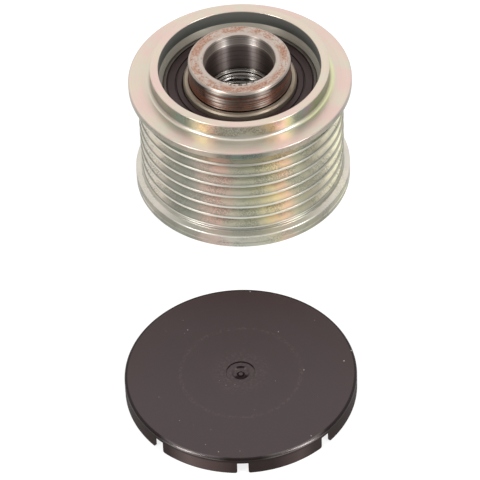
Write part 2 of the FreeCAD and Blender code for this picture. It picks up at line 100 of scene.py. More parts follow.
def rounded_profile(corners: Sequence[Corner], steps: int = 4, margin: float = 0.03) -> np.ndarray:
    """Round the corners of a closed outline.

    Each corner is cut back along both edges by radius times the tangent of half its turn, and points on the
    arc between the two cuts follow the circle that touches both edges. One more point lies just outside each
    cut, so that shading stays flat beside the round.

    Args:
        corners: Radius from the axis, height, and rounding radius of each corner.
        steps: Segments of each round.
        margin: Distance of the extra points from the round.

    Returns:
        An array of radius and height, one row for each point.
    """
    places = np.array([corner[:2] for corner in corners], float)
    rounds = np.array([corner[2] for corner in corners], float)
    back = np.roll(places, 1, axis=0) - places
    ahead = np.roll(places, -1, axis=0) - places
    back_length = np.linalg.norm(back, axis=1)
    ahead_length = np.linalg.norm(ahead, axis=1)
    back /= back_length[:, None]
    ahead /= ahead_length[:, None]
    bend = np.arccos(np.clip((back * ahead).sum(1), -1, 1))
    cut = np.minimum(rounds / np.tan(bend / 2), EDGE_SHARE * np.minimum(back_length, ahead_length))
    radius = cut * np.tan(bend / 2)
    points: list[np.ndarray] = []
    for index, place in enumerate(places):
        if radius[index] < SHARP_CORNER:
            points.append(place[None, :])
            continue
        inwards = back[index] + ahead[index]
        inwards /= np.linalg.norm(inwards)
        centre = place + inwards * radius[index] / math.sin(bend[index] / 2)
        spread = (math.pi - bend[index]) / 2
        across = ahead[index] - inwards * (ahead[index] @ inwards)
        across /= np.linalg.norm(across)
        angle = np.linspace(-spread, spread, steps + 1)[:, None]
        arc = centre + radius[index] * (np.sin(angle) * across - np.cos(angle) * inwards)
        reach = min(margin, 0.2 * min(back_length[index], ahead_length[index]))
        before = place + back[index] * (cut[index] + reach)
        after = place + ahead[index] * (cut[index] + reach)
        points += [before[None, :], arc, after[None, :]]
    return np.vstack(points)


def grid_faces(rows: int, columns: int, close_rows: bool) -> np.ndarray:
    """Quads of a grid that is closed round its columns.

    Args:
        rows: Number of rows.
        columns: Number of columns.
        close_rows: Whether the last row joins the first.

    Returns:
        Four indices for each quad, wound so that a row order that runs anticlockwise in radius and height
        faces outwards.
    """
    row = np.arange(rows if close_rows else rows - 1)[:, None]
    column = np.arange(columns)[None, :]
    next_row = (row + 1) % rows
    next_column = (column + 1) % columns
    quads = [row * columns + column, row * columns + next_column,
             next_row * columns + next_column, next_row * columns + column]
    return np.stack([np.broadcast_to(quad, (row.size, columns)) for quad in quads], axis=-1).reshape(-1, 4)


def strip(*corners: np.ndarray) -> list[list[int]]:
    """Faces of a strip, from the indices of their first, second, third and fourth corners."""
    return np.stack(corners, axis=1).tolist()


def make_object(name: str, points: np.ndarray, faces: np.ndarray | list,
                sharp_deg: float = 35) -> Object:
    """Put points and faces into a new object at the origin.

    Args:
        name: Name of the object.
        points: Places in millimetres.
        faces: Vertex indices of each face.
        sharp_deg: Edges that turn by more than this stay crisp.

    Returns:
        The new object.
    """
    mesh = bpy.data.meshes.new(name)
    mesh.from_pydata((points * MM).tolist(), [], faces if isinstance(faces, list) else faces.tolist())
    mesh.update()
    mesh.polygons.foreach_set("use_smooth", np.ones(len(mesh.polygons), bool))
    mesh.set_sharp_from_angle(angle=math.radians(sharp_deg))
    piece = bpy.data.objects.new(name, mesh)
    bpy.context.scene.collection.objects.link(piece)
    return piece


def lathe(name: str, radius: np.ndarray, height: np.ndarray, columns: int) -> Object:
    """Close a turned surface whose radius and height may also change with the angle.

    A point at row i and angle a is (radius * cos a, radius * sin a, height), with the last row joined to the
    first.

    Args:
        name: Name of the object.
        radius: Radii, one for each row, or one for each row and column.
        height: Heights, shaped like the radii.
        columns: Steps round the axis.

    Returns:
        The new object.
    """
    angle = np.linspace(0, 2 * math.pi, columns, endpoint=False)[None, :]
    radius = np.broadcast_to(radius.reshape(len(radius), -1), (len(radius), columns))
    height = np.broadcast_to(height.reshape(len(height), -1), (len(height), columns))
    points = np.stack([radius * np.cos(angle), radius * np.sin(angle), height], axis=-1).reshape(-1, 3)
    return make_object(name, points, grid_faces(len(radius), columns, close_rows=True))


def turned(name: str, corners: Sequence[Corner], columns: int = 256, steps: int = 4) -> Object:
    """Turn a rounded outline about the axis.

    Args:
        name: Name of the object.
        corners: Radius, height and rounding of each corner, anticlockwise with radius to the right.
        columns: Steps round the axis.
        steps: Segments of each round.

    Returns:
        The new object.
    """
    profile = rounded_profile(corners, steps)
    return lathe(name, profile[:, 0], profile[:, 1], columns)


# Finishes


@dataclass(frozen=True)
class Zone:
    """Part of a turned piece, in millimetres and shares of a turn.

    Two bounds are where the zone is empty and where it is full. Four are empty, full, full and empty again.
    The turn is 0.5 at the front, and aside is how far it is from there.
    """

    radius: tuple[float, ...] = ()
    height: tuple[float, ...] = ()
    turn: tuple[float, ...] = ()
    aside: tuple[float, ...] = ()


@dataclass(frozen=True)
class Tint:
    """A colour that covers a share of a zone."""

    colour: Colour
    share: float
    zone: Zone


class Graph:
    """A material's node tree, built from small named steps."""

    def __init__(self, name: str) -> None:
        """Start an empty material with a shader and a surface output."""
        self.material = bpy.data.materials.new(name)
        self.material.use_nodes = True
        self.tree = self.material.node_tree
        self.tree.nodes.clear()
        self.shader = self.tree.nodes.new("ShaderNodeBsdfPrincipled")
        output = self.tree.nodes.new("ShaderNodeOutputMaterial")
        self.tree.links.new(self.shader.outputs["BSDF"], output.inputs["Surface"])
        self.place = self.tree.nodes.new("ShaderNodeTexCoord").outputs["Object"]

    def put(self, socket: Socket, value: object) -> None:
        """Give a socket a link or a constant.

        Args:
            socket: The input to fill.
            value: Another socket, a number, or a colour of three parts.
        """
        if isinstance(value, Socket):
            self.tree.links.new(value, socket)
        elif isinstance(value, tuple) and socket.type == "RGBA":
            socket.default_value = (*value[:3], 1)
        else:
            socket.default_value = value

    def math(self, operation: str, first: object, second: object = 0.0) -> Socket:
        """One step of arithmetic.

        Args:
            operation: Name of the operation.
            first: First input, linked or constant.
            second: Second input.

        Returns:
            The result's socket.
        """
        node = self.tree.nodes.new("ShaderNodeMath")
        node.operation = operation
        self.put(node.inputs[0], first)
        self.put(node.inputs[1], second)
        return node.outputs[0]

    def times(self, first: object, *others: object) -> Socket:
        """Product of the numbers."""
        return reduce(partial(self.math, "MULTIPLY"), others, first)

    def plus(self, first: object, *others: object) -> Socket:
        """Sum of the numbers."""
        return reduce(partial(self.math, "ADD"), others, first)

    def minus(self, first: object, *others: object) -> Socket:
        """The first number less the others."""
        return reduce(partial(self.math, "SUBTRACT"), others, first)

    def without(self, mask: object, other: object) -> Socket:
        """A mask less the part that another mask covers."""
        return self.times(mask, self.minus(1.0, other))

    def mix(self, amount: object, first: object, second: object, blend: str = "MIX") -> Socket:
        """Blend two colours.

        Args:
            amount: Share of the second colour.
            first: First colour.
            second: Second colour.
            blend: Kind of blend.

        Returns:
            The blended colour's socket.
        """
        node = self.tree.nodes.new("ShaderNodeMix")
        node.data_type = "RGBA"
        node.blend_type = blend
        self.put(node.inputs[0], amount)
        self.put(node.inputs[6], first)
        self.put(node.inputs[7], second)
        return node.outputs[2]

    def tint(self, under: object, mask: object, share: float, colour: object) -> Socket:
        """Lay a share of a colour over another, where a mask is 1."""
        return self.mix(self.times(mask, share), under, colour)

    def shade(self, colour: object, share: object) -> Socket:
        """Multiply a colour by shares of red, green and blue."""
        return self.mix(1.0, colour, share, "MULTIPLY")

    def ramp(self, amount: object, stops: Stops) -> Socket:
        """Colours along a number.

        Args:
            amount: The number.
            stops: Place and colour of each stop, in order.

        Returns:
            The colour's socket.
        """
        node = self.tree.nodes.new("ShaderNodeValToRGB")
        elements = node.color_ramp.elements
        for index, (place, colour) in enumerate(stops):
            element = elements[index] if index < 2 else elements.new(place)
            element.position = place
            element.color = (*colour, 1)
        self.put(node.inputs[0], amount)
        return node.outputs[0]

    def band(self, amount: object, low: float, high: float) -> Socket:
        """A number that rises smoothly from 0 to 1.

        Args:
            amount: The number that decides.
            low: Where the result is 0.
            high: Where the result is 1, which may lie under low.

        Returns:
            The result's socket.
        """
        node = self.tree.nodes.new("ShaderNodeMapRange")
        node.interpolation_type = "SMOOTHSTEP"
        self.put(node.inputs[0], amount)
        node.inputs[1].default_value = low
        node.inputs[2].default_value = high
        return node.outputs[0]

    def noise(self, scale: float, detail: float = 3, rough: float = 0.55, vector: object = None) -> Socket:
        """Smooth random values.

        Args:
            scale: Patches for each metre.
            detail: Layers of finer patches.
            rough: Strength of the finer layers.
            vector: Place to read at, the object's own by default.

        Returns:
            The value's socket.
        """
        node = self.tree.nodes.new("ShaderNodeTexNoise")
        self.put(node.inputs["Vector"], self.place if vector is None else vector)
        node.inputs["Scale"].default_value = scale
        node.inputs["Detail"].default_value = detail
        node.inputs["Roughness"].default_value = rough
        return node.outputs["Fac"]

    def vector(self, x: object, y: object, z: object) -> Socket:
        """Join three numbers."""
        node = self.tree.nodes.new("ShaderNodeCombineXYZ")
        for socket, value in zip(node.inputs, (x, y, z)):
            self.put(socket, value)
        return node.outputs[0]

    def bump(self, height: object, strength: float, distance: float) -> None:
        """Raise the surface, on top of what earlier bumps raised.

        Args:
            height: How far, in shares of the distance.
            strength: Share of the effect.
            distance: The full height in millimetres.
        """
        node = self.tree.nodes.new("ShaderNodeBump")
        node.inputs["Strength"].default_value = strength
        node.inputs["Distance"].default_value = distance * MM
        self.put(node.inputs["Height"], height)
        previous = self.shader.inputs["Normal"].links
        if previous:
            self.tree.links.new(previous[0].from_socket, node.inputs["Normal"])
        self.tree.links.new(node.outputs["Normal"], self.shader.inputs["Normal"])

    def finish(self, **sockets: object) -> Material:
        """Set the shader's sockets, named with underscores for spaces, and return the material."""
        for name, value in sockets.items():
            self.put(self.shader.inputs[name.replace("_", " ")], value)
        return self.material


class TurnedGraph(Graph):
    """The node tree of a piece turned about an upright axis, which knows radius, height, turn and aside."""

    def __init__(self, name: str, centre: tuple[float, float] = (0.0, 0.0)) -> None:
        """Work out the places round the axis.

        Args:
            name: Name of the material.
            centre: Where the axis stands, in millimetres.
        """
        super().__init__(name)
        node = self.tree.nodes.new("ShaderNodeSeparateXYZ")
        self.put(node.inputs[0], self.place)
        self.right = self.minus(node.outputs[0], centre[0] * MM)
        self.back = self.minus(node.outputs[1], centre[1] * MM)
        self.height = node.outputs[2]
        self.radius = self.math("SQRT", self.plus(self.times(self.right, self.right),
                                                  self.times(self.back, self.back)))
        angle = self.math("ARCTAN2", self.right, self.times(self.back, -1.0))
        self.turn = self.plus(self.math("DIVIDE", angle, 2 * math.pi), 0.5)
        self.aside = self.math("ABSOLUTE", self.minus(self.turn, 0.5))

    def zone(self, zone: Zone) -> Socket:
        """Find a zone.

        Args:
            zone: Its bounds.

        Returns:
            A socket with 1 inside the zone and 0 outside it, and soft bounds.
        """
        masks = []
        for name, unit in (("radius", MM), ("height", MM), ("turn", 1.0), ("aside", 1.0)):
            bounds = getattr(zone, name)
            for empty, full in ((0, 1), (3, 2))[:len(bounds) // 2]:
                masks.append(self.band(getattr(self, name), bounds[empty] * unit, bounds[full] * unit))
        return self.times(*masks)

    def lay(self, under: object, tint: Tint) -> Socket:
        """Lay a tint over a colour."""
        return self.tint(under, self.zone(tint.zone), tint.share, tint.colour)

    def upright(self) -> Socket:
        """1 on upright walls and 0 on level faces."""
        split = self.tree.nodes.new("ShaderNodeSeparateXYZ")
        coordinates = self.tree.nodes.new("ShaderNodeTexCoord")
        self.tree.links.new(coordinates.outputs["Normal"], split.inputs[0])
        return self.band(self.math("ABSOLUTE", split.outputs[2]), 0.6, 0.15)

    def turned_grain(self, amount: object) -> None:
        """Spread reflections across the turning marks, which run round the axis.

        Args:
            amount: How strongly, from 0 to 1.
        """
        along = self.tree.nodes.new("ShaderNodeVectorTransform")
        along.vector_type = "VECTOR"
        along.convert_from = "OBJECT"
        along.convert_to = "WORLD"
        self.put(along.inputs[0], self.vector(self.times(self.back, -1.0), self.right, 0.0))
        self.put(self.shader.inputs["Tangent"], along.outputs[0])
        self.put(self.shader.inputs["Anisotropic"], amount)
        self.put(self.shader.inputs["Anisotropic Rotation"], 0.25)


@dataclass(frozen=True)
class ZincPlate:
    """Bright zinc plating on turned steel, with passivation tints and fine turning lines.

    The rows of stops run once round the pulley, from the back by the front at 0.5, and how bright they are
    round the pulley is partly painted light and shade. Only the row of painted light and shade down the
    grooves runs from a groove's floor to a ridge.
    """

    level: Colour = (0.72, 0.61, 0.50)
    pink: Colour = (0.76, 0.57, 0.51)
    green: Colour = (0.67, 0.64, 0.52)
    # Painted shade: the bore inside the collar is painted darker than outside, darker still towards its
    # floor.
    bore: Colour = (0.27, 0.28, 0.26)
    bore_floor_shade: Colour = (0.165, 0.18, 0.17)
    cone: Colour = (0.50, 0.48, 0.41)
    haze: Colour = (0.50, 0.50, 0.43)
    pits: Colour = (0.25, 0.26, 0.225)
    # Painted light and shade on the front flange's slope, darker at the front than at the sides, and painted
    # shade on the foot of the front land, at the front.
    slope_front_shade: Colour = (0.42, 0.41, 0.35)
    slope_sides_light: Colour = (0.74, 0.68, 0.60)
    foot: Colour = (0.2, 0.2, 0.17)
    line: Colour = (0.34, 0.32, 0.28)
    line_pitch: float = 0.13
    roughness: float = 0.26
    # Painted shade: upright walls are darkened by the next share.
    upright_painted_shade: float = 0.68
    rear_share: Colour = (0.65, 0.62, 0.60)
    wall_gain: float = 1.4
    groove_floor: float = 22.2
    groove_depth: float = 3.2
    groove_zone: Zone = Zone(height=(27.8, 27.4))
    collar_zone: Zone = Zone(height=(29.08, 29.48))
    flange_zone: Zone = Zone(radius=(26.6, 26.8), height=(27.0, 27.4))
    slope_zone: Zone = Zone(radius=(25.55, 25.75), height=(3.42, 3.55, 4.4, 4.6))
    foot_shade_zone: Zone = Zone(height=(3.9, 4.0, 5.0, 5.12), aside=(0.15, 0.07))
    facing_zone: Zone = Zone(aside=(0.15, 0.07))
    front_rim_zone: Zone = Zone(height=(3.6, 3.4))
    land_zone: Zone = Zone(radius=(25.31, 25.43, 25.50, 25.57))
    inside_zone: Zone = Zone(radius=(20.1, 20.02))
    upper_bore_zone: Zone = Zone(height=(32.7, 35.4))
    cone_zone: Zone = Zone(height=(32.46, 32.36))
    rear_zone: Zone = Zone(height=(31.58, 31.98))
    near_collar_zone: Zone = Zone(radius=(22.2, 22.5, 22.6, 24.6))
    calm_zone: Zone = Zone(height=(3.7, 3.9, 5.3, 5.5))
    # Painted shade: a dark band just under the ridges, away from the front.
    groove_lip_shade: Tint = Tint(
        (0.12, 0.11, 0.09), 0.5, Zone((24.98, 25.12, 25.31, 25.41), (27.8, 27.4), aside=(0.10, 0.17)))
    # Painted highlight: a bright line on the front flange's upper edge, at the front.
    front_edge_highlight: Tint = Tint(
        (0.92, 0.89, 0.80), 0.6, Zone((26.7, 26.8), (3.18, 3.3, 3.6, 3.7), aside=(0.15, 0.07)))
    collar_fillet: Tint = Tint((0.50, 0.57, 0.55), 0.8, Zone(height=(32.06, 32.16, 32.58, 33.08)))
    # Painted light and shade on the rear faces: brighter in front, a yellow-green glow by the collar on the
    # right, and a darker rounded rear edge that dims its highlight.
    rear_light_and_shade: tuple[Tint, ...] = (
        Tint((0.97, 0.91, 0.81), 0.75, Zone(radius=(22.2, 22.5, 24.4, 26.4), aside=(0.06, 0.02))),
        Tint((0.76, 0.80, 0.42), 0.65, Zone(radius=(22.2, 22.4, 22.9, 23.7), turn=(0.59, 0.64, 0.76, 0.84))),
        Tint((0.56, 0.46, 0.43), 0.6, Zone(radius=(27.22, 27.36), height=(31.4, 31.6))),
    )
    # Painted light and shade down each groove, from floor to ridge: lighter deep down, a dark line just
    # under the ridge.
    flank_light_and_shade: Stops = (
        (0.0, grey(0.96)), (0.4, grey(0.90)), (0.72, grey(0.98)), (0.88, grey(0.84)), (0.96, grey(0.58)),
        (1.0, grey(0.8)),
    )
    # Painted shade on the front rim's wall: darkest at the sides.
    rim_painted_shade: Stops = (
        (0.0, (0.6, 0.6, 0.57)), (0.29, (0.36, 0.36, 0.325)), (0.36, (0.46, 0.46, 0.415)),
        (0.42, (0.62, 0.61, 0.56)), (0.47, grey(0.72)), (0.54, grey(0.72)), (0.60, (0.58, 0.58, 0.55)),
        (0.70, (0.33, 0.335, 0.305)), (1.0, (0.6, 0.6, 0.57)),
    )
    # Painted light and shade on the ridge lands, by the angle round the pulley.
    land_light_and_shade: Stops = (
        (0.0, (0.56, 0.54, 0.45)), (0.30, (0.50, 0.48, 0.40)), (0.36, (0.62, 0.60, 0.51)),
        (0.45, (0.74, 0.69, 0.61)), (0.5, (0.68, 0.69, 0.61)), (0.56, (0.70, 0.66, 0.56)),
        (0.60, (0.44, 0.44, 0.38)), (0.64, (0.34, 0.33, 0.27)), (1.0, (0.56, 0.54, 0.45)),
    )
    # Passivation tints, whose brightness round the pulley is partly painted light and shade.
    groove_tints_and_light: Stops = (
        (0.0, (0.56, 0.56, 0.49)), (0.10, (0.62, 0.56, 0.46)), (0.22, (0.56, 0.54, 0.49)),
        (0.333, (0.68, 0.62, 0.54)), (0.365, (0.39, 0.37, 0.33)), (0.40, (0.36, 0.365, 0.32)),
        (0.42, (0.41, 0.385, 0.345)), (0.443, (0.62, 0.49, 0.43)), (0.46, (0.66, 0.515, 0.45)),
        (0.478, (0.57, 0.55, 0.47)), (0.5, (0.53, 0.53, 0.44)), (0.53, (0.58, 0.56, 0.43)),
        (0.55, (0.68, 0.61, 0.41)), (0.572, (0.68, 0.52, 0.40)), (0.59, (0.49, 0.48, 0.38)),
        (0.62, (0.45, 0.425, 0.34)), (0.653, (0.64, 0.61, 0.52)), (0.70, (0.95, 0.90, 0.65)),
        (0.74, (0.60, 0.57, 0.51)), (0.86, (0.56, 0.55, 0.49)), (0.93, (0.62, 0.54, 0.49)),
        (1.0, (0.56, 0.56, 0.49)),
    )
    collar_tints_and_light: Stops = (
        (0.0, (0.56, 0.54, 0.47)), (0.36, (0.56, 0.57, 0.47)), (0.39, (0.42, 0.57, 0.49)),
        (0.42, (0.56, 0.60, 0.43)), (0.437, (0.78, 0.67, 0.38)), (0.453, (0.82, 0.57, 0.50)),
        (0.468, (0.74, 0.73, 0.61)), (0.5, (0.82, 0.86, 0.74)), (0.533, (0.78, 0.74, 0.56)),
        (0.55, (0.82, 0.63, 0.36)), (0.565, (0.80, 0.58, 0.54)), (0.583, (0.62, 0.68, 0.36)),
        (0.605, (0.42, 0.61, 0.58)), (0.62, (0.60, 0.52, 0.62)), (0.64, (0.44, 0.54, 0.33)),
        (0.70, (0.40, 0.42, 0.36)), (1.0, (0.56, 0.54, 0.47)),
    )
    flange_tints_and_light: Stops = (
        (0.0, (0.56, 0.54, 0.47)), (0.34, (0.44, 0.45, 0.36)), (0.40, (0.50, 0.46, 0.37)),
        (0.44, (0.74, 0.65, 0.53)), (0.465, (0.68, 0.62, 0.51)), (0.482, (0.49, 0.66, 0.56)),
        (0.51, (0.47, 0.66, 0.58)), (0.53, (0.54, 0.57, 0.45)), (0.56, (0.72, 0.63, 0.50)),
        (0.60, (0.60, 0.56, 0.46)), (0.66, (0.44, 0.43, 0.35)), (1.0, (0.56, 0.54, 0.47)),
    )

    def wall_colour(self, graph: TurnedGraph, blush: Socket, upright: Socket, inside: Socket) -> Socket:
        """Colour of the grooves, rims, slopes, collar and bore.

        Tints change with the angle round the pulley, as the passivation film thickens and thins, and how
        bright they are there is partly painted light and shade. Haze and pits break them up. Painted light
        and shade runs down each groove, and painted shade darkens the grooves towards their lips. The land
        by the front flange keeps painted light and shade of its own, and upright walls are painted darker as
        shade, most at the front rim's sides. The flange's slope is painted darkest at the front and paler at
        the sides, over a foot painted dark as shade, and a painted highlight lines the front flange's upper
        edge. The bore is painted darker than outside, and darker still towards its floor, as shade.

        Args:
            graph: The material's tree.
            blush: Slow cloudiness.
            upright: 1 on upright walls.
            inside: 1 inside the collar.

        Returns:
            The colour.
        """
        drift = graph.times(graph.minus(graph.noise(110, 2, 0.5), 0.5), 0.05)
        wander = graph.times(graph.minus(graph.noise(420, 3, 0.6), 0.5), 0.04)
        place = graph.plus(graph.turn, wander, drift)
        # Passivation tints by angle, partly painted light and shade.
        wall = graph.ramp(place, self.groove_tints_and_light)
        for zone, tints in ((self.collar_zone, self.collar_tints_and_light), (self.flange_zone, self.flange_tints_and_light)):
            wall = graph.mix(graph.zone(zone), wall, graph.ramp(place, tints))
        pits = graph.times(graph.band(graph.noise(2600, 3, 0.6), 0.40, 0.58),
                           graph.band(graph.noise(190, 2, 0.5), 0.40, 0.60))
        wall = graph.tint(wall, graph.band(blush, 0.50, 0.75), 0.6, self.haze)
        wall = graph.tint(wall, pits, 0.62, self.pits)
        # Painted light and shade down each groove: lighter deep down, darker just under the ridge.
        depth = graph.minus(graph.radius, self.groove_floor * MM)
        groove_light_and_shade = graph.ramp(graph.math("DIVIDE", depth, self.groove_depth * MM), self.flank_light_and_shade)
        groove_light_and_shade = graph.mix(graph.zone(self.groove_zone), self.rear_share, groove_light_and_shade)
        wall = graph.shade(wall, graph.shade(groove_light_and_shade, grey(self.wall_gain)))
        # Painted shade under the ridges, away from the front.
        wall = graph.lay(wall, self.groove_lip_shade)
        # Painted light and shade on the flange's slope: darker at the front, paler at the sides.
        pale = graph.mix(graph.zone(self.facing_zone), self.slope_sides_light, self.slope_front_shade)
        wall = graph.tint(wall, graph.zone(self.slope_zone), 0.7, pale)
        # Painted shade on the foot of the front land, at the front.
        foot = graph.zone(self.foot_shade_zone)
        wall = graph.tint(wall, foot, 0.35, self.foot)
        # Painted shade on upright walls, darkest at the front rim's sides.
        rim_shade = graph.ramp(graph.turn, self.rim_painted_shade)
        share = graph.mix(graph.zone(self.front_rim_zone), grey(self.upright_painted_shade), rim_shade)
        wall = graph.mix(upright, wall, graph.shade(wall, share))
        # Painted light and shade on the ridge lands, by angle.
        land = graph.without(graph.zone(self.land_zone), graph.times(foot, 0.7))
        wall = graph.tint(wall, land, 0.9, graph.ramp(graph.turn, self.land_light_and_shade))
        # Painted highlight on the front edge, then the collar's fillet tint.
        wall = graph.lay(graph.lay(wall, self.front_edge_highlight), self.collar_fillet)
        # Painted shade in the bore, darkest towards its floor.
        bore = graph.mix(graph.zone(self.upper_bore_zone), self.bore_floor_shade, self.bore)
        return graph.mix(inside, wall, graph.mix(graph.zone(self.cone_zone), bore, self.cone))

    def level_colour(self, graph: TurnedGraph, cloud: Socket, blush: Socket) -> Socket:
        """Colour of the level rear faces: pink and green clouds, greener by the collar, painted brighter in
        front as painted light.

        Args:
            graph: The material's tree.
            cloud: Large, soft patches.
            blush: Slow cloudiness.

        Returns:
            The colour.
        """
        level = graph.mix(graph.band(cloud, 0.42, 0.60), self.level, self.pink)
        level = graph.tint(level, graph.band(blush, 0.52, 0.66), 0.7, self.green)
        near = graph.times(graph.zone(self.near_collar_zone), graph.band(cloud, 0.40, 0.55))
        level = graph.tint(level, near, 0.8, self.green)
        # Painted light and shade: a brighter front, a glow by the collar, a darker rounded edge.
        for tint in self.rear_light_and_shade:
            level = graph.lay(level, tint)
        return level

    def material(self) -> Material:
        """Build the material.

        Turning lines are noise read at radius plus height, so they run round. They are calm beside the front
        flange.
        """
        graph = TurnedGraph("zinc_plate")
        cloud = graph.noise(90, 4, 0.6)
        blush = graph.noise(150, 3, 0.55)
        upright = graph.upright()
        inside = graph.zone(self.inside_zone)
        rear = graph.without(graph.without(graph.zone(self.rear_zone), upright), inside)
        wall = self.wall_colour(graph, blush, upright, inside)
        colour = graph.mix(rear, wall, self.level_colour(graph, cloud, blush))
        along = graph.plus(graph.radius, graph.times(graph.height, 1.37))
        around = graph.vector(along, graph.times(graph.turn, 0.0006), 0.0)
        lines = graph.noise(1000 / self.line_pitch, 2, 0.6, around)
        colour = graph.tint(colour, graph.band(lines, 0.35, 0.7), 0.10, self.line)
        graph.bump(graph.without(lines, graph.zone(self.calm_zone)), 0.12, 0.02)
        graph.turned_grain(graph.minus(0.6, graph.times(rear, 0.3)))
        rough = graph.plus(graph.times(cloud, 0.12), self.roughness)
        metallic = graph.minus(graph.plus(0.74, graph.times(rear, 0.16)), graph.times(inside, 0.26))
        return graph.finish(Base_Color=colour, Metallic=metallic, Roughness=rough)


@dataclass(frozen=True)
class WornSteel:
    """Turned steel of the hub, browned by surface rust outside and dark in the bore.

    The rows of stops are painted highlights and shade: how bright the steel is painted once round the hub,
    from the back by the front at 0.5.
    """

    bright: Colour = (0.565, 0.48, 0.42)
    wall_steel: Colour = (0.50, 0.43, 0.38)
    # Painted highlight: near-white streaks on the wall.
    highlight_steel: Colour = (0.94, 0.83, 0.74)
    brown_steel: Colour = (0.215, 0.108, 0.07)
    bore_steel: Colour = (0.42, 0.355, 0.335)
    deep_steel: Colour = (0.43, 0.41, 0.38)
    # Painted highlight: the bore's bright mouth.
    mouth_highlight: Colour = (0.96, 0.88, 0.82)
    copper: Colour = (0.46, 0.24, 0.16)
    copper_dark: Colour = (0.24, 0.12, 0.085)
    scratch: Colour = (0.34, 0.29, 0.26)
    ring: Colour = (0.07, 0.05, 0.045)
    nick: Colour = (0.10, 0.07, 0.06)
    rust: Colour = (0.37, 0.12, 0.055)
    rust_dark: Colour = (0.17, 0.08, 0.055)
    ring_pitch: float = 0.7
    band_pitch: float = 0.62
    scratch_pitch: float = 0.5
    line_pitch: float = 0.16
    wall_zone: Zone = Zone(radius=(12.3, 12.45))
    face_zone: Zone = Zone(height=(37.91, 38.01))
    inside_zone: Zone = Zone(radius=(9.2, 9.05))
    low_zone: Zone = Zone(height=(37.13, 35.43))
    rusty_zone: Zone = Zone(height=(36.83, 36.03))
    mottled_zone: Zone = Zone(radius=(9.6, 10.6, 11.9, 12.25))
    mouth_highlight_zone: Zone = Zone(height=(34.2, 36.0))
    deep_zone: Zone = Zone(height=(28.0, 27.7))
    bevel_zone: Zone = Zone(height=(37.41, 37.61))
    nick_zone: Zone = Zone(radius=(9.9, 9.5), aside=(0.10, 0.06))
    # Painted shade: near black at the wall's foot, by the sleeve.
    crevice_shade: Tint = Tint((0.03, 0.02, 0.018), 1.0, Zone(radius=(11.45, 11.85), height=(32.46, 32.32)))
    # Painted highlights and shade: bright streaks on the wall and in the bore at fixed angles, darker
    # between.
    painted_highlights: Stops = (
        (0.0, (0.60, 0.57, 0.56)), (0.04, (0.62, 0.59, 0.58)), (0.064, grey(1.0)),
        (0.086, (0.52, 0.49, 0.47)), (0.20, (0.35, 0.31, 0.29)), (0.375, grey(0.11)), (0.423, grey(1.0)),
        (0.455, grey(0.44)), (0.5, (0.25, 0.24, 0.23)), (0.54, grey(0.44)), (0.563, grey(1.0)),
        (0.605, grey(0.11)), (0.80, (0.35, 0.31, 0.29)), (0.914, (0.52, 0.49, 0.47)), (0.936, grey(1.0)),
        (0.96, (0.62, 0.59, 0.58)), (1.0, (0.60, 0.57, 0.56)),
    )
    # Painted highlight along the bevel, brightest at the front.
    bevel_highlight: Stops = (
        (0.0, (0.62, 0.58, 0.55)), (0.39, (0.52, 0.48, 0.45)), (0.42, (0.42, 0.39, 0.36)),
        (0.455, (0.85, 0.80, 0.74)), (0.5, (1.0, 0.95, 0.88)), (0.545, (0.85, 0.80, 0.74)),
        (0.58, (0.42, 0.39, 0.36)), (0.61, (0.52, 0.48, 0.45)), (1.0, (0.62, 0.58, 0.55)),
    )

    def material(self) -> Material:
        """Build the material.

        Rust is noise, stretched round the axis, that gathers on the lower part of the outer wall. On the end
        face it is fine copper-brown mottling, thickest between the two edges, with nicks at the front of the
        bore's mouth. The bore keeps dark steel with turning rings, has a painted highlight at its mouth, and
        is smooth below. Painted highlight streaks lie on the wall and in the bore at fixed angles round the
        hub, with painted shade between them, and a painted highlight runs along the bevel. The wall's foot
        is painted near black as shade, in the gap by the sleeve.
        """
        graph = TurnedGraph("hub_steel")
        radius, height, turn = graph.radius, graph.height, graph.turn
        wall, face, inside, low = (
            graph.zone(zone) for zone in (self.wall_zone, self.face_zone, self.inside_zone, self.low_zone))
        stretched = graph.vector(graph.times(turn, 0.02), radius, graph.times(height, 6.0))
        streak = graph.noise(520, 5, 0.7, stretched)
        patch = graph.noise(300, 6, 0.7)
        flecks = graph.noise(2200, 3, 0.6)
        around_face = graph.vector(graph.times(turn, 0.012), radius, 0.0)
        scratch = graph.noise(1000 / self.scratch_pitch, 4, 0.7, around_face)
        around_wall = graph.vector(height, graph.times(turn, 0.0012), 0.0)
        bands = graph.noise(1000 / self.band_pitch, 3, 0.8, around_wall)
        cover = graph.plus(graph.times(low, 0.14), graph.mix(0.5, patch, streak),
                           graph.times(graph.band(bands, 0.53, 0.47), 0.32))
        wall_rust = graph.times(wall, graph.zone(self.rusty_zone), graph.band(cover, 0.63, 0.76))
        specks = graph.plus(graph.times(patch, 0.45), graph.times(scratch, 0.25),
                            graph.times(graph.noise(1100, 4, 0.7), 0.30))
        face_rust = graph.times(face, graph.zone(self.mottled_zone), graph.band(specks, 0.42, 0.54))
        brown = graph.mix(graph.band(flecks, 0.35, 0.65), self.rust_dark, self.rust)
        bare = graph.mix(wall, self.bright, graph.mix(low, self.wall_steel, self.brown_steel))
        deep_bore = graph.times(inside, graph.zone(self.deep_zone))
        bore = graph.mix(deep_bore, self.bore_steel, self.deep_steel)
        # Painted highlight at the bore's mouth.
        bare = graph.mix(inside, bare, graph.mix(graph.zone(self.mouth_highlight_zone), bore, self.mouth_highlight))
        turned_wall = graph.math("MAXIMUM", inside, wall)
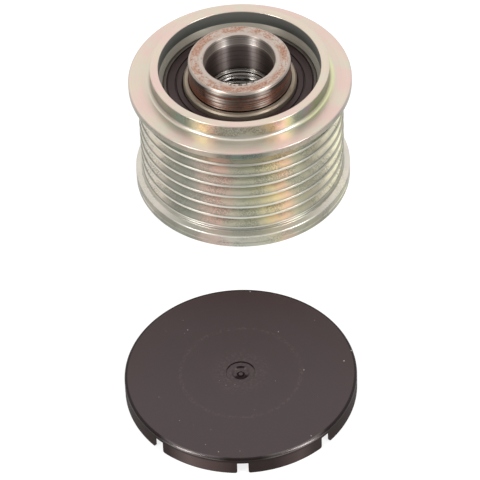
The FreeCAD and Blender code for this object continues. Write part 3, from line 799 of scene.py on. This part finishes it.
        # Painted highlights and shade on the wall and bore, by angle.
        painted_highlights = graph.mix(graph.zone(self.bevel_zone), graph.ramp(turn, self.painted_highlights),
                           graph.ramp(turn, self.bevel_highlight))
        bare = graph.mix(turned_wall, bare, graph.shade(bare, painted_highlights))
        bare = graph.mix(graph.times(face, graph.band(scratch, 0.56, 0.68)), bare, self.scratch)
        colour = graph.mix(wall_rust, bare, brown)
        # Painted highlight streaks on the wall, among the rings.
        painted_streaks = graph.times(wall, painted_highlights, graph.band(bands, 0.46, 0.53))
        colour = graph.tint(colour, painted_streaks, 0.9, self.highlight_steel)
        # Painted shade: near black at the wall's foot, by the sleeve.
        colour = graph.lay(colour, self.crevice_shade)
        colour = graph.tint(colour, face_rust, 0.85, self.copper)
        dark_rust = graph.times(face_rust, graph.band(flecks, 0.50, 0.66))
        colour = graph.tint(colour, dark_rust, 0.75, self.copper_dark)
        rings = graph.noise(1000 / self.ring_pitch, 5, 0.7, graph.vector(height, 0.0, 0.0))
        colour = graph.tint(colour, graph.times(turned_wall, graph.band(rings, 0.50, 0.60)), 0.5, self.ring)
        nicks = graph.times(face, graph.zone(self.nick_zone),
                            graph.band(graph.noise(1300, 2, 0.6), 0.49, 0.54))
        colour = graph.tint(colour, nicks, 0.9, self.nick)
        along = graph.vector(graph.plus(radius, height), 0.0, 0.0)
        graph.bump(graph.times(rings, turned_wall), 1.0, 0.10)
        graph.bump(graph.noise(1000 / self.line_pitch, 2, 0.6, along), 0.14, 0.02)
        grip = graph.plus(0.7, graph.times(turned_wall, 0.25))
        graph.turned_grain(graph.minus(grip, graph.times(deep_bore, 0.5)))
        metallic = graph.minus(1.0, graph.times(wall_rust, 0.3))
        rough = graph.minus(graph.plus(0.36, graph.times(turned_wall, 0.10)), graph.times(deep_bore, 0.19))
        return graph.finish(Base_Color=colour, Metallic=metallic, Roughness=rough)


@dataclass(frozen=True)
class GroundSteel:
    """Hardened ground steel of raceways, rollers and washers."""

    name: str = "bearing_steel"
    colour: Colour = (0.56, 0.50, 0.45)
    stain: Colour = (0.38, 0.27, 0.18)
    roughness: float = 0.2
    line_pitch: float = 0.1

    def material(self) -> Material:
        """Build the material: even steel with faint stains and grinding lines round the axis."""
        graph = TurnedGraph(self.name)
        stain = graph.band(graph.noise(240, 4, 0.6), 0.5, 0.75)
        along = graph.vector(graph.plus(graph.radius, graph.height), 0.0, 0.0)
        colour = graph.tint(self.colour, stain, 0.55, self.stain)
        graph.bump(graph.noise(1000 / self.line_pitch, 2, 0.6, along), 0.1, 0.02)
        graph.turned_grain(0.5)
        rough = graph.plus(self.roughness, graph.times(stain, 0.12))
        return graph.finish(Base_Color=colour, Metallic=1.0, Roughness=rough)


@dataclass(frozen=True)
class MouldedRubber:
    """Brown-black rubber of the seals, dusted with old grease."""

    colour: Colour = srgb(44, 31, 33)
    dust: Colour = srgb(58, 44, 45)

    def material(self) -> Material:
        """Build the material: satin rubber with a cloudy film and a fine grain."""
        graph = Graph("seal_rubber")
        film = graph.band(graph.noise(180, 4, 0.6), 0.4, 0.7)
        graph.bump(graph.noise(2600, 2), 0.12, 0.03)
        colour = graph.tint(self.colour, film, 0.5, self.dust)
        rough = graph.plus(0.36, graph.times(film, 0.16))
        return graph.finish(Base_Color=colour, Roughness=rough, Specular_Tint=(1.0, 0.78, 0.74))


@dataclass(frozen=True)
class MouldedPlastic:
    """Moulded polyamide with a fine grain."""

    name: str
    colour: Colour
    pale: Colour
    roughness: float

    def material(self) -> Material:
        """Build the material: one colour, slightly cloudy, with grain in the gloss."""
        graph = Graph(self.name)
        cloud = graph.band(graph.noise(90, 4, 0.6), 0.35, 0.7)
        graph.bump(graph.noise(3200, 2), 0.08, 0.02)
        colour = graph.tint(self.colour, cloud, 0.35, self.pale)
        rough = graph.plus(self.roughness, graph.times(cloud, 0.06))
        return graph.finish(Base_Color=colour, Roughness=rough)


@dataclass(frozen=True)
class CapPlastic:
    """Dark grey-brown cap moulding: satin disc, glossier skirt and edge, a few specks of dust.

    The places are measured from the cap's own axis, and the skirt's painted sheen runs once round it by the
    front at 0.5.
    """

    centre: tuple[float, float] = (-2.56, -73.26)
    disc: Colour = srgb(47, 36, 38)
    cloudy: Colour = srgb(58, 45, 47)
    edge: Colour = srgb(49, 34, 33)
    # Painted reflection: the disc is painted lighter towards the front.
    front: Colour = srgb(54, 44, 46)
    scuffed: Colour = srgb(84, 70, 68)
    # Painted shade: a dark band on the skirt under the rounded edge.
    shoulder_shade: Colour = srgb(22, 13, 12)
    # Painted shade in the gate's gaps, steps and crease.
    gate: Colour = srgb(20, 11, 12)
    dust: Colour = srgb(176, 168, 160)
    front_light_reach: tuple[float, float] = (13.26, -12.74)
    rim_zone: Zone = Zone(radius=(26.7, 26.95))
    sink_zone: Zone = Zone(radius=(13.6, 14.2, 14.4, 15.0))
    scuff_zone: Zone = Zone(radius=(8.5, 4.0))
    warm_zone: Zone = Zone(radius=(19.0, 26.5))
    shoulder_shade_zone: Zone = Zone(height=(3.3, 3.9))
    fillet_zone: Zone = Zone(height=(3.9, 4.1))
    worn_zone: Zone = Zone(aside=(0.02, 0.045, 0.105, 0.13))
    # Painted shade: dark lines in the gate's crease at the back, round the pip, in a crescent at the front
    # and an arc at the back.
    crease_shade_zone: Zone = Zone(radius=(3.22, 3.34, 3.50, 3.62), aside=(0.26, 0.36))
    gate_shade_zones: tuple[Zone, ...] = (
        Zone(radius=(0.46, 0.60, 0.84, 0.98)),
        Zone(radius=(0.90, 1.10, 1.80, 2.00), turn=(0.28, 0.36, 0.68, 0.76)),
        Zone(radius=(1.70, 1.90, 2.20, 2.40), aside=(0.40, 0.44)),
    )
    # Painted sheen: the skirt is painted lighter on two patches beside the front.
    skirt: Stops = (
        (0.0, srgb(34, 20, 17)), (0.39, srgb(30, 17, 14)), (0.425, srgb(84, 69, 66)),
        (0.465, srgb(66, 52, 49)), (0.495, srgb(34, 23, 22)), (0.54, srgb(36, 25, 23)),
        (0.56, srgb(56, 43, 41)), (0.58, srgb(66, 52, 49)), (0.60, srgb(30, 17, 14)),
        (1.0, srgb(34, 20, 17)),
    )

    def material(self) -> Material:
        """Build the material.

        The disc and the skirt differ by radius, and the disc is painted lighter towards the front as a
        painted reflection. A faint ring marks the thicker middle, and painted shade darkens the steps and
        the crease of the gate. The skirt has a painted sheen on two patches beside the front, and a band
        painted dark as shade under the rounded edge. The rounded edge is glossiest on two worn arcs at the
        front. Dust is where a fine noise peaks.
        """
        graph = TurnedGraph("cap_plastic", self.centre)
        rim = graph.zone(self.rim_zone)
        cloud = graph.noise(60, 4, 0.6)
        dots = graph.band(graph.noise(1500, 3, 0.6), 0.45, 0.65)
        # Painted reflection: lighter towards the front.
        front = graph.band(graph.back, self.front_light_reach[0] * MM, self.front_light_reach[1] * MM)
        colour = graph.tint(self.disc, graph.band(cloud, 0.35, 0.7), 0.25, self.cloudy)
        colour = graph.tint(colour, graph.zone(self.warm_zone), 0.6, self.edge)
        colour = graph.tint(colour, front, 0.8, self.front)
        for zone, share in ((self.sink_zone, 0.42), (self.scuff_zone, 0.36)):
            colour = graph.tint(colour, graph.times(graph.zone(zone), dots), share, self.scuffed)
        # Painted sheen round the skirt, and painted shade in a dark band under the edge.
        wall = graph.mix(graph.zone(self.shoulder_shade_zone), graph.ramp(graph.turn, self.skirt), self.shoulder_shade)
        colour = graph.mix(rim, colour, wall)
        # Painted shade in the gate's steps and crease.
        marks = graph.times(graph.zone(self.crease_shade_zone), graph.band(graph.noise(420, 2, 0.5), 0.36, 0.46))
        for zone in self.gate_shade_zones:
            marks = graph.math("MAXIMUM", marks, graph.zone(zone))
        colour = graph.tint(colour, marks, 0.85, self.gate)
        colour = graph.tint(colour, graph.band(graph.noise(1250, 1, 0.4), 0.805, 0.82), 0.8, self.dust)
        graph.bump(graph.noise(2400, 2), 0.10, 0.02)
        graph.turned_grain(graph.times(rim, 0.95))
        fillet = graph.times(rim, graph.zone(self.fillet_zone))
        rough = graph.minus(graph.plus(0.42, graph.times(cloud, 0.06), graph.times(rim, 0.08)),
                            graph.times(fillet, 0.26))
        gloss = graph.minus(0.5, graph.times(rim, 0.2), graph.times(marks, 0.42))
        gloss = graph.plus(gloss, graph.times(fillet, graph.zone(self.worn_zone), 1.3))
        return graph.finish(Base_Color=colour, Roughness=rough, Specular_Tint=(1.0, 0.88, 0.87),
                            Specular_IOR_Level=gloss)


@dataclass(frozen=True)
class StudioFloor:
    """Pale, even floor."""

    colour: Colour = grey(0.26)
    mottle: Colour = grey(0.24)

    def material(self) -> Material:
        """Build the material: a white light table with a slight mottle."""
        graph = Graph("studio_floor")
        colour = graph.tint(self.colour, graph.noise(30, 2), 0.05, self.mottle)
        return graph.finish(Base_Color=colour, Roughness=0.9, Emission_Color=grey(1.0),
                            Emission_Strength=0.82)


def made(finish: object) -> Field:
    """A field that holds a finish's material."""
    return field(default_factory=finish.material)


@dataclass
class Finishes:
    """One material of each kind, shared by the pieces."""

    zinc: Material = made(ZincPlate())
    hub: Material = made(WornSteel())
    bearing: Material = made(GroundSteel())
    sleeve: Material = made(
        GroundSteel("sleeve_steel", (0.44, 0.37, 0.29), (0.33, 0.25, 0.17), 0.5))
    seal_steel: Material = made(
        GroundSteel("seal_steel", (0.13, 0.11, 0.095), (0.06, 0.045, 0.035), 0.42))
    spring: Material = made(
        GroundSteel("spring_steel", (0.55, 0.55, 0.56), (0.40, 0.36, 0.30), 0.22))
    rubber: Material = made(MouldedRubber())
    cage: Material = made(MouldedPlastic("cage_plastic", srgb(70, 58, 42), srgb(92, 78, 58), 0.45))
    cap: Material = made(CapPlastic())


# Sub-assemblies


def dress(piece: Object, material: Material, body: Body, slot: str, *nodes: str) -> None:
    """Give a piece its material and body, and let it stand for CAD nodes.

    Args:
        piece: The finished object.
        material: Its material.
        body: The body that it rides on.
        slot: The record's material slot; not used.
        nodes: CAD nodes that it replaces.
    """
    piece.data.materials.append(material)
    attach(piece, body.value)
    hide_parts(*nodes)
    LOG.info("%s: %d faces, for %s", piece.name, len(piece.data.polygons), ", ".join(nodes))


@dataclass
class BeltRing:
    """Zinc-plated ring with seven grooves, two flanges and the rear collar."""

    seal_radius: float = 19.1
    cup_radius: float = 18.0
    groove_count: int = 7
    groove_pitch: float = 3.56
    groove_angle: float = 40.0
    groove_depth: float = 3.1
    ridge_land: float = 0.6
    ridge_radius: float = 25.47
    front_flange_radius: float = 26.95
    front_flange_rim: float = 3.5
    front_slope_top: float = 4.0
    front_ridge_land: float = 1.3
    snap_groove_height: float = 1.4
    rear_flange_radius: float = 27.55
    rear_flange_rim: float = 1.7
    collar_radius: float = 22.14
    collar_bore_radius: float = 20.0
    collar_height: float = 3.92
    collar_bore_depth: float = 3.6
    lead_in_height: float = 1.5
    seal_depth: float = 2.9
    front_seal_floor: float = 4.2

    def outline(self) -> list[Corner]:
        """Walk the section anticlockwise: front face, grooves, rear flange, collar and bore.

        Returns:
            The corners with their rounds.
        """
        slope = math.tan(math.radians(self.groove_angle / 2))
        mouth = (self.groove_pitch - self.ridge_land) / 2
        floor = mouth - self.groove_depth * slope
        floor_radius = self.ridge_radius - self.groove_depth
        first = self.front_slope_top + self.front_ridge_land + mouth
        snap = self.snap_groove_height
        corners: list[Corner] = [
            (self.seal_radius, 0, 0.3),
            (self.front_flange_radius, 0, 0.16),
            (self.front_flange_radius, snap - 0.26, 0.1),
            (self.front_flange_radius - 0.13, snap, 0.1),
            (self.front_flange_radius, snap + 0.26, 0.1),
            (self.front_flange_radius, self.front_flange_rim, 0.22),
            (self.ridge_radius, self.front_slope_top, 0.25),
            (self.ridge_radius, self.front_slope_top + 0.5, 0.05),
            (self.ridge_radius - 0.16, self.front_slope_top + 0.65, 0.05),
            (self.ridge_radius, self.front_slope_top + 0.8, 0.05),
        ]
        for index in range(self.groove_count):
            middle = first + index * self.groove_pitch
            corners += [
                (self.ridge_radius, middle - mouth, 0.12),
                (floor_radius, middle - floor, 0.22),
                (floor_radius, middle + floor, 0.22),
            ]
            if index < self.groove_count - 1:
                corners.append((self.ridge_radius, middle + mouth, 0.12))
        foot = first + (self.groove_count - 1) * self.groove_pitch + mouth
        edge = foot + (self.rear_flange_radius - self.ridge_radius) * slope
        face = edge + self.rear_flange_rim
        top = face + self.collar_height
        bore = top - self.collar_bore_depth
        seat = bore - self.lead_in_height
        return corners + [
            (self.rear_flange_radius, edge, 0.25),
            (self.rear_flange_radius, face, 0.28),
            (self.collar_radius, face, 0.8),
            (self.collar_radius, top, 0.25),
            (self.collar_bore_radius, top, 0.25),
            (self.collar_bore_radius, bore, 0.2),
            (self.seal_radius, seat, 0.1),
            (self.seal_radius, seat - self.seal_depth, 0.15),
            (self.cup_radius, seat - self.seal_depth, 0.1),
            (self.cup_radius, self.front_seal_floor, 0.1),
            (self.seal_radius, self.front_seal_floor, 0.15),
        ]

    def build(self, finishes: Finishes) -> None:
        """Turn the ring and dress it."""
        ring = turned("belt_ring", self.outline(), columns=288, steps=3)
        dress(ring, finishes.zinc, Body.RIM, "zinc_plate", "pulley_ring")


@dataclass
class Hub:
    """Threaded hub with its pilot bore, M16 x 1.5 thread and drive socket, and the sleeve pressed on it."""

    radius: float = 12.6
    start: float = 0.8
    top: float = 38.03
    bevel: float = 0.42
    relief: float = 0.3
    mouth_radius: float = 8.94
    mouth_depth: float = 2.47
    pilot_radius: float = 8.5
    pilot_floor: float = 27.2
    countersink_radius: float = 8.1
    thread_minor: float = 7.188
    thread_major: float = 8.03
    thread_pitch: float = 1.5
    socket_end: float = 11.0
    socket_radius: float = 8.4
    tooth_count: int = 33
    tooth_height: float = 0.65
    tooth_steps: int = 12
    tooth_flank: float = 0.53
    thread_flank: float = 0.625
    wave_edge: float = 0.75
    rows_per_turn: int = 12
    sleeve_radius: float = 14.0
    sleeve_start: float = 1.3
    sleeve_top: float = 32.1

    def tooth_share(self, columns: int) -> np.ndarray:
        """How far each column lies in a gap between teeth.

        The share is a trapezium wave of the angle: 0 on a tooth's tip, 1 at a gap's root, straight between.

        Args:
            columns: Steps round the axis.

        Returns:
            One share for each column.
        """
        phase = np.arange(columns) / columns * self.tooth_count
        away = np.abs(phase - np.round(phase)) * 2
        return np.clip((self.wave_edge - away) / self.tooth_flank, 0, 1)

    def thread_depth(self, turn: np.ndarray, height: np.ndarray, start: float, end: float) -> np.ndarray:
        """Depth of a right-hand internal thread.

        The phase is height over pitch less the share of a turn. The depth is a trapezium wave of the phase
        with 60 degree flanks, and fades out over half a pitch at both ends.

        Args:
            turn: Share of a turn, one for each column.
            height: Height of each row.
            start: Lower end of the thread.
            end: Upper end of the thread.

        Returns:
            Depths of rows by columns.
        """
        phase = height[:, None] / self.thread_pitch - turn[None, :]
        away = np.abs(phase - np.round(phase)) * 2
        share = np.clip((self.wave_edge - away) / self.thread_flank, 0, 1)
        fade = np.clip(np.minimum(height - start, end - height) / (self.thread_pitch / 2), 0, 1)
        return (self.thread_major - self.thread_minor) * share * fade[:, None]

    def build_shaft(self, finishes: Finishes) -> None:
        """Join the outside, the smooth bore, the thread and the toothed socket in one closed surface.

        Args:
            finishes: The shared materials.
        """
        columns = self.tooth_count * self.tooth_steps
        turn = np.arange(columns) / columns
        countersink_end = self.pilot_floor - (self.countersink_radius - self.thread_minor)
        mouth_end = self.top - self.mouth_depth
        outer = rounded_profile([
            (self.socket_radius + 1.6, self.start, 0),
            (self.radius, self.start, 0.4),
            (self.radius, self.sleeve_top - 1.0, 0.05),
            (self.radius - self.relief, self.sleeve_top - 0.9, 0.05),
            (self.radius - self.relief, self.sleeve_top + 0.08, 0.05),
            (self.radius, self.sleeve_top + 0.28, 0.08),
            (self.radius, self.top - self.bevel, 0.12),
            (self.radius - self.bevel, self.top, 0.12),
            (self.mouth_radius, self.top, 0.16),
            (self.mouth_radius - 0.34, mouth_end, 0.08),
            (self.pilot_radius, mouth_end - 0.1, 0.05),
            (self.pilot_radius, self.pilot_floor, 0.2),
            (self.countersink_radius, self.pilot_floor, 0.08),
            (self.countersink_radius - 0.3, self.pilot_floor - 0.16, 0.08),
            (self.countersink_radius - 0.4, self.pilot_floor - 0.62, 0.08),
            (self.thread_minor + 0.1, countersink_end + 0.04, 0.1),
            (self.thread_minor, countersink_end, 0),
        ], 3)
        height = np.linspace(countersink_end, self.socket_end, int(
            (countersink_end - self.socket_end) / self.thread_pitch * self.rows_per_turn))[1:]
        thread = self.thread_minor + self.thread_depth(turn, height, self.socket_end, countersink_end)
        gap = self.tooth_height * self.tooth_share(columns)
        socket = np.stack([
            np.full(columns, self.socket_radius - 0.05), self.socket_radius + gap, self.socket_radius + gap,
            self.socket_radius + gap + 0.3, np.full(columns, self.socket_radius + 1.3)])
        socket_height = np.array([
            self.socket_end, self.socket_end, self.start + 0.3, self.start, self.start])
        rows = np.vstack([np.repeat(outer[:, :1], columns, axis=1), thread, socket])
        heights = np.concatenate([outer[:, 1], height, socket_height])
        shaft = lathe("hub", rows, heights, columns)
        dress(shaft, finishes.hub, Body.HUB, "hub_steel", "hub_shaft")

    def build_sleeve(self, finishes: Finishes) -> None:
        """Turn the sleeve with the bright bevel at its rear end.

        Args:
            finishes: The shared materials.
        """
        sleeve = turned("sleeve", [
            (self.radius, self.sleeve_start, 0.05),
            (self.sleeve_radius, self.sleeve_start, 0.1),
            (self.sleeve_radius, self.sleeve_top - 0.4, 0.15),
            (self.sleeve_radius - 0.4, self.sleeve_top, 0.15),
            (self.radius + 0.22, self.sleeve_top, 0.08),
            (self.radius, self.sleeve_top - 0.22, 0.04),
        ], columns=192)
        dress(sleeve, finishes.sleeve, Body.HUB, "bearing_steel", "raceway_sleeve")

    def build(self, finishes: Finishes) -> None:
        """Build both pieces."""
        self.build_shaft(finishes)
        self.build_sleeve(finishes)


@dataclass
class ShaftSeal:
    """A pressed steel case with a rolled rim, and the rubber ring that it holds."""

    facing: Facing
    floor: float
    depth: float = 2.9
    seat_radius: float = 19.1
    rim_inner: float = 18.15
    hole_radius: float = 15.6
    rim_round: float = 0.28
    floor_wall: float = 0.6
    face_recess: float = 0.2
    lip_radius: float = 14.05
    lip_width: float = 1.2
    rib_radius: float = 15.85

    def level(self, corners: Sequence[Corner]) -> list[Corner]:
        """Turn heights over the seal's floor into heights over the origin.

        Args:
            corners: Radius, height over the floor and rounding of each corner.

        Returns:
            The corners in place, still in anticlockwise order.
        """
        sign = self.facing.value
        placed = [(radius, self.floor + sign * up, rounding) for radius, up, rounding in corners]
        return placed if sign > 0 else placed[::-1]

    def build(self, finishes: Finishes) -> None:
        """Turn the case and the rubber.

        Args:
            finishes: The shared materials.
        """
        end = self.facing.name.lower()
        case = turned(f"{end}_case", self.level([
            (self.hole_radius, 0, 0.1),
            (self.seat_radius, 0, 0.3),
            (self.seat_radius, self.depth, self.rim_round),
            (self.rim_inner, self.depth, self.rim_round),
            (self.rim_inner, self.floor_wall, 0.05),
            (self.hole_radius, self.floor_wall, 0.1),
        ]), columns=224, steps=6)
        dress(case, finishes.seal_steel, Body.RIM, "seal_steel", f"{end}_seal_case")
        face = self.depth - self.face_recess
        rubber = turned(f"{end}_rubber", self.level([
            (self.hole_radius, self.floor_wall, 0.02),
            (self.rim_inner, self.floor_wall, 0.02),
            (self.rim_inner, face - 0.25, 0.02),
            (self.rim_inner - 0.2, face - 0.25, 0.05),
            (self.rim_inner - 0.25, face, 0.12),
            (self.rib_radius + 0.24, face, 0.1),
            (self.rib_radius + 0.1, face - 0.35, 0.06),
            (self.rib_radius - 0.1, face - 0.35, 0.06),
            (self.rib_radius - 0.24, face, 0.1),
            (self.lip_radius + 0.35, face, 0.12),
            (self.lip_radius, face - 0.3, 0.1),
            (self.lip_radius, face - self.lip_width, 0.05),
        ]), columns=224, steps=3)
        dress(rubber, finishes.rubber, Body.RIM, "seal_rubber", f"{end}_seal_rubber")


@dataclass
class DustCap:
    """Moulded cap with eight notches in its skirt and a gate mark in the middle.

    Gate holds the radius, the depth under the top and the rounding of each of the mark's steps.
    """

    centre: tuple[float, float] = (-2.56, -73.26)
    turn_deg: float = -0.7
    radius: float = 27.51
    skirt_inner: float = 26.98
    height: float = 4.59
    edge_round: float = 0.64
    notch_count: int = 8
    notch_half: float = 1.32
    notch_height: float = 3.3
    notch_steps: int = 4
    mouth_round: float = 0.55
    columns_between: int = 40
    gate: tuple[Corner, ...] = (
        (0.0, 0.5, 0), (0.5, 0.5, 0.06), (0.58, 0.85, 0.05), (0.85, 0.85, 0.05), (1.0, 0.62, 0.08),
        (1.7, 0.6, 0.15), (2.1, 0.24, 0.12), (3.35, 0.22, 0.08), (3.5, 0.0, 0.06),
    )

    def disc_outline(self) -> np.ndarray:
        """Radius and height of the top, from the pip in the middle to the skirt's outer wall.

        Returns:
            The points, starting on the axis.
        """
        gate = [(radius, self.height - depth, rounding) for radius, depth, rounding in self.gate]
        return rounded_profile(gate + [
            (self.radius, self.height, self.edge_round),
            (self.radius, self.notch_height, 0),
            (0.0, self.notch_height, 0),
        ], 6)[:-1]

    def seams(self) -> np.ndarray:
        """Places across the skirt where the columns stand, from a notch's middle to the next notch's.

        Returns:
            Arc lengths from a notch's middle: closer together at its mouth.
        """
        pitch = 2 * math.pi * self.radius / self.notch_count
        notch = np.linspace(-self.notch_half, self.notch_half, self.notch_steps + 1)[:-1]
        mouth = self.notch_half + self.mouth_round * (1 - np.cos(np.linspace(0, math.pi / 2, 6)))
        wall = np.linspace(mouth[-1], pitch - mouth[-1], self.columns_between)[1:-1]
        return np.concatenate([notch, mouth, wall, (pitch - mouth)[::-1][:-1]])

    def skirt_foot(self, across: np.ndarray) -> np.ndarray:
        """Find the skirt's foot, which rises in a quarter circle beside each notch.

        Args:
            across: Arc lengths from a notch's middle.

        Returns:
            The foot's height at each of them.
        """
        pitch = 2 * math.pi * self.radius / self.notch_count
        away = np.minimum(across, pitch - across) - self.notch_half
        inner = np.clip(self.mouth_round - away, 0, self.mouth_round)
        return self.mouth_round - np.sqrt(np.maximum(self.mouth_round ** 2 - inner ** 2, 0))

    def build(self, finishes: Finishes) -> None:
        """Join the disc, its underside and the skirt's eight lengths, and lay the cap in its place."""
        cap = make_object("dust_cap_shell", *self.surface(), sharp_deg=30)
        dress(cap, finishes.cap, Body.RIM, "cap_plastic", "dust_cap")

    def surface(self) -> tuple[np.ndarray, list[list[int]]]:
        """Work out the closed surface.

        The disc is turned from its outline. Its underside has a ring at the skirt's inner wall. Each length
        of skirt is a tube of four rows, inner top, inner foot, outer foot and outer top, along the columns
        between two notches, and two end walls close it.

        Returns:
            The points in place, and the faces.
        """
        across = self.seams()
        starts = np.arange(self.notch_count)[:, None] * 2 * math.pi / self.notch_count
        angle = (across[None, :] / self.radius + starts).ravel()
        columns = angle.size
        disc = self.disc_outline()[1:]
        underside = np.array([[self.skirt_inner, self.notch_height], [1.0, self.notch_height]])
        rows = np.vstack([disc, underside])
        ring = np.stack([rows[:, :1] * np.cos(angle), rows[:, :1] * np.sin(angle),
                         np.repeat(rows[:, 1:], columns, axis=1)], axis=-1)
        foot = np.tile(self.skirt_foot(across), self.notch_count)
        feet = np.stack([np.stack([reach * np.cos(angle), reach * np.sin(angle), foot], axis=-1)
                         for reach in (self.skirt_inner, self.radius)])
        last, inner_row, hole_row, inner_foot, outer_foot = (
            (len(disc) - 1 + index) * columns for index in range(5))
        step = np.arange(columns)
        following = (step + 1) % columns
        in_notch = np.tile(np.arange(across.size) < self.notch_steps, self.notch_count)
        notch, past_notch = step[in_notch], following[in_notch]
        wall, past_wall = step[~in_notch], following[~in_notch]
        faces = grid_faces(len(disc), columns, close_rows=False)[:, ::-1].tolist()
        faces += strip(inner_row + notch, inner_row + past_notch, last + past_notch, last + notch)
        faces += strip(hole_row + step, hole_row + following, inner_row + following, inner_row + step)
        faces.append(step.tolist())
        faces.append((hole_row + step[::-1]).tolist())
        for here, there in ((inner_row, inner_foot), (inner_foot, outer_foot), (outer_foot, last)):
            faces += strip(here + past_wall, there + past_wall, there + wall, here + wall)
        for end, start in step.reshape(self.notch_count, -1)[:, [0, self.notch_steps]].tolist():
            faces.append([inner_foot + start, outer_foot + start, last + start, inner_row + start])
            faces.append([last + end, outer_foot + end, inner_foot + end, inner_row + end])
        placed = np.vstack([ring.reshape(-1, 3), feet.reshape(-1, 3)])
        lean = math.radians(self.turn_deg)
        turn = np.array([[math.cos(lean), -math.sin(lean)], [math.sin(lean), math.cos(lean)]])
        placed[:, :2] = placed[:, :2] @ turn.T + np.array(self.centre)
        return placed, faces


@dataclass
class RollingParts:
    """Hidden pieces whose CAD forms stay as they are, with their finishes."""

    steel: tuple[str, ...] = ("clutch_cup", "clutch_rollers", "front_needles", "rear_needles",
                              "front_thrust_washer", "rear_thrust_washer")
    cages: tuple[str, ...] = ("clutch_cage", "front_needle_cage", "rear_needle_cage")
    springs: tuple[str, ...] = ("clutch_springs",)

    def build(self, finishes: Finishes) -> None:
        """Put the finishes on the nodes.

        Args:
            finishes: The shared materials.
        """
        for names, material in ((self.steel, finishes.bearing), (self.cages, finishes.cage),
                                (self.springs, finishes.spring)):
            for name in names:
                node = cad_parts[name]
                node.data.materials.clear()
                node.data.materials.append(material)
                LOG.info("%s keeps its form", name)


# Studio


@dataclass
class Studio:
    """Pale floor, soft light and the camera at the photograph's view."""

    target: tuple[float, float, float] = (-1.513, -24.471, 0.0)
    elevation_deg: float = 45.0
    roll_deg: float = 2.22
    distance: float = 836.2
    lens: float = 253.34
    sensor_width: float = 36.0
    sight: tuple[float, float] = (0.01, 20.0)
    floor_size: float = 6000.0
    floor_gap: float = 0.05
    room: tuple[tuple[float, float], ...] = (
        (0.0, 0.28), (1.0, 0.95), (0.5, 0.28), (0.75, 0.52), (0.86, 0.80), (0.95, 0.90))
    room_strength: float = 1.16
    room_direction: tuple[float, float, float] = (0.0, 0.707, 0.707)
    lights: tuple[tuple[str, tuple[float, float, float]], ...] = (
        ("front_left", (-0.80, -0.62, 0.80)), ("front_right", (0.80, -0.56, 0.82)))
    light_size: tuple[float, float] = (0.28, 0.9)
    light_aim: tuple[float, float, float] = (0.0, -0.02, 0.02)
    radiance: float = 9.5

    def build_floor(self) -> None:
        """Lay the floor just under the standing face."""
        corners = np.array([[-1, -1], [1, -1], [1, 1], [-1, 1]]) * self.floor_size / 2
        points = np.hstack([corners, np.full((4, 1), -self.floor_gap)])
        floor = make_object("floor", points, [[0, 1, 2, 3]])
        floor.data.materials.append(StudioFloor().material())

    def build_camera(self) -> None:
        """Stand the camera off the target, level with its elevation and rolled about its own axis."""
        rise = math.radians(self.elevation_deg)
        roll = math.radians(self.roll_deg)
        back = Vector((0, -math.cos(rise), math.sin(rise)))
        right = Vector((1, 0, 0))
        up = back.cross(right)
        across = right * math.cos(roll) - up * math.sin(roll)
        upwards = right * math.sin(roll) + up * math.cos(roll)
        camera = bpy.data.objects.new("camera", bpy.data.cameras.new("camera"))
        camera.data.lens = self.lens
        camera.data.sensor_width = self.sensor_width
        camera.data.clip_start, camera.data.clip_end = self.sight
        turn = Matrix((across, upwards, back)).transposed().to_4x4()
        turn.translation = (Vector(self.target) + back * self.distance) * MM
        camera.matrix_world = turn
        bpy.context.scene.collection.objects.link(camera)
        bpy.context.scene.camera = camera

    def build_room(self) -> None:
        """Make the room brightest up and behind the object, and dim on the camera's side.

        The light from a direction follows a ramp over its cosine with the direction up and behind.
        """
        world = bpy.data.worlds.new("room")
        world.use_nodes = True
        tree = world.node_tree
        direction = tree.nodes.new("ShaderNodeTexCoord").outputs["Generated"]
        cosine = tree.nodes.new("ShaderNodeVectorMath")
        cosine.operation = "DOT_PRODUCT"
        tree.links.new(direction, cosine.inputs[0])
        cosine.inputs[1].default_value = self.room_direction
        level = tree.nodes.new("ShaderNodeMapRange")
        tree.links.new(cosine.outputs["Value"], level.inputs[0])
        level.inputs[1].default_value = -1.0
        ramp = tree.nodes.new("ShaderNodeValToRGB")
        tree.links.new(level.outputs[0], ramp.inputs[0])
        for index, (place, light) in enumerate(self.room):
            element = ramp.color_ramp.elements[index] if index < 2 else ramp.color_ramp.elements.new(place)
            element.position = place
            element.color = (*grey(light), 1)
        background = tree.nodes["Background"]
        tree.links.new(ramp.outputs[0], background.inputs["Color"])
        background.inputs["Strength"].default_value = self.room_strength
        bpy.context.scene.world = world

    def build_lights(self) -> None:
        """Stand a soft rectangle of light on either side of the camera, looking at the object."""
        for name, place in self.lights:
            light = bpy.data.lights.new(name, "AREA")
            light.shape = "RECTANGLE"
            light.size, light.size_y = self.light_size
            light.energy = self.radiance * light.size * light.size_y * math.pi
            lamp = bpy.data.objects.new(name, light)
            lamp.location = place
            aim = Vector(self.light_aim) - Vector(place)
            lamp.rotation_euler = aim.to_track_quat("-Z", "Y").to_euler()
            bpy.context.scene.collection.objects.link(lamp)
        bpy.context.scene.view_settings.view_transform = "Standard"

    def build(self) -> None:
        """Build floor, camera and lights."""
        self.build_floor()
        self.build_camera()
        self.build_room()
        self.build_lights()


def main() -> None:
    """Build the studio and every sub-assembly."""
    logging.basicConfig(level=logging.INFO, format="%(name)s: %(message)s")
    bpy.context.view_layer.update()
    Studio().build()
    finishes = Finishes()
    BeltRing().build(finishes)
    Hub().build(finishes)
    ShaftSeal(Facing.REAR, floor=28.0).build(finishes)
    ShaftSeal(Facing.FRONT, floor=4.2).build(finishes)
    DustCap().build(finishes)
    RollingParts().build(finishes)


if __name__ == "__main__":
    main()
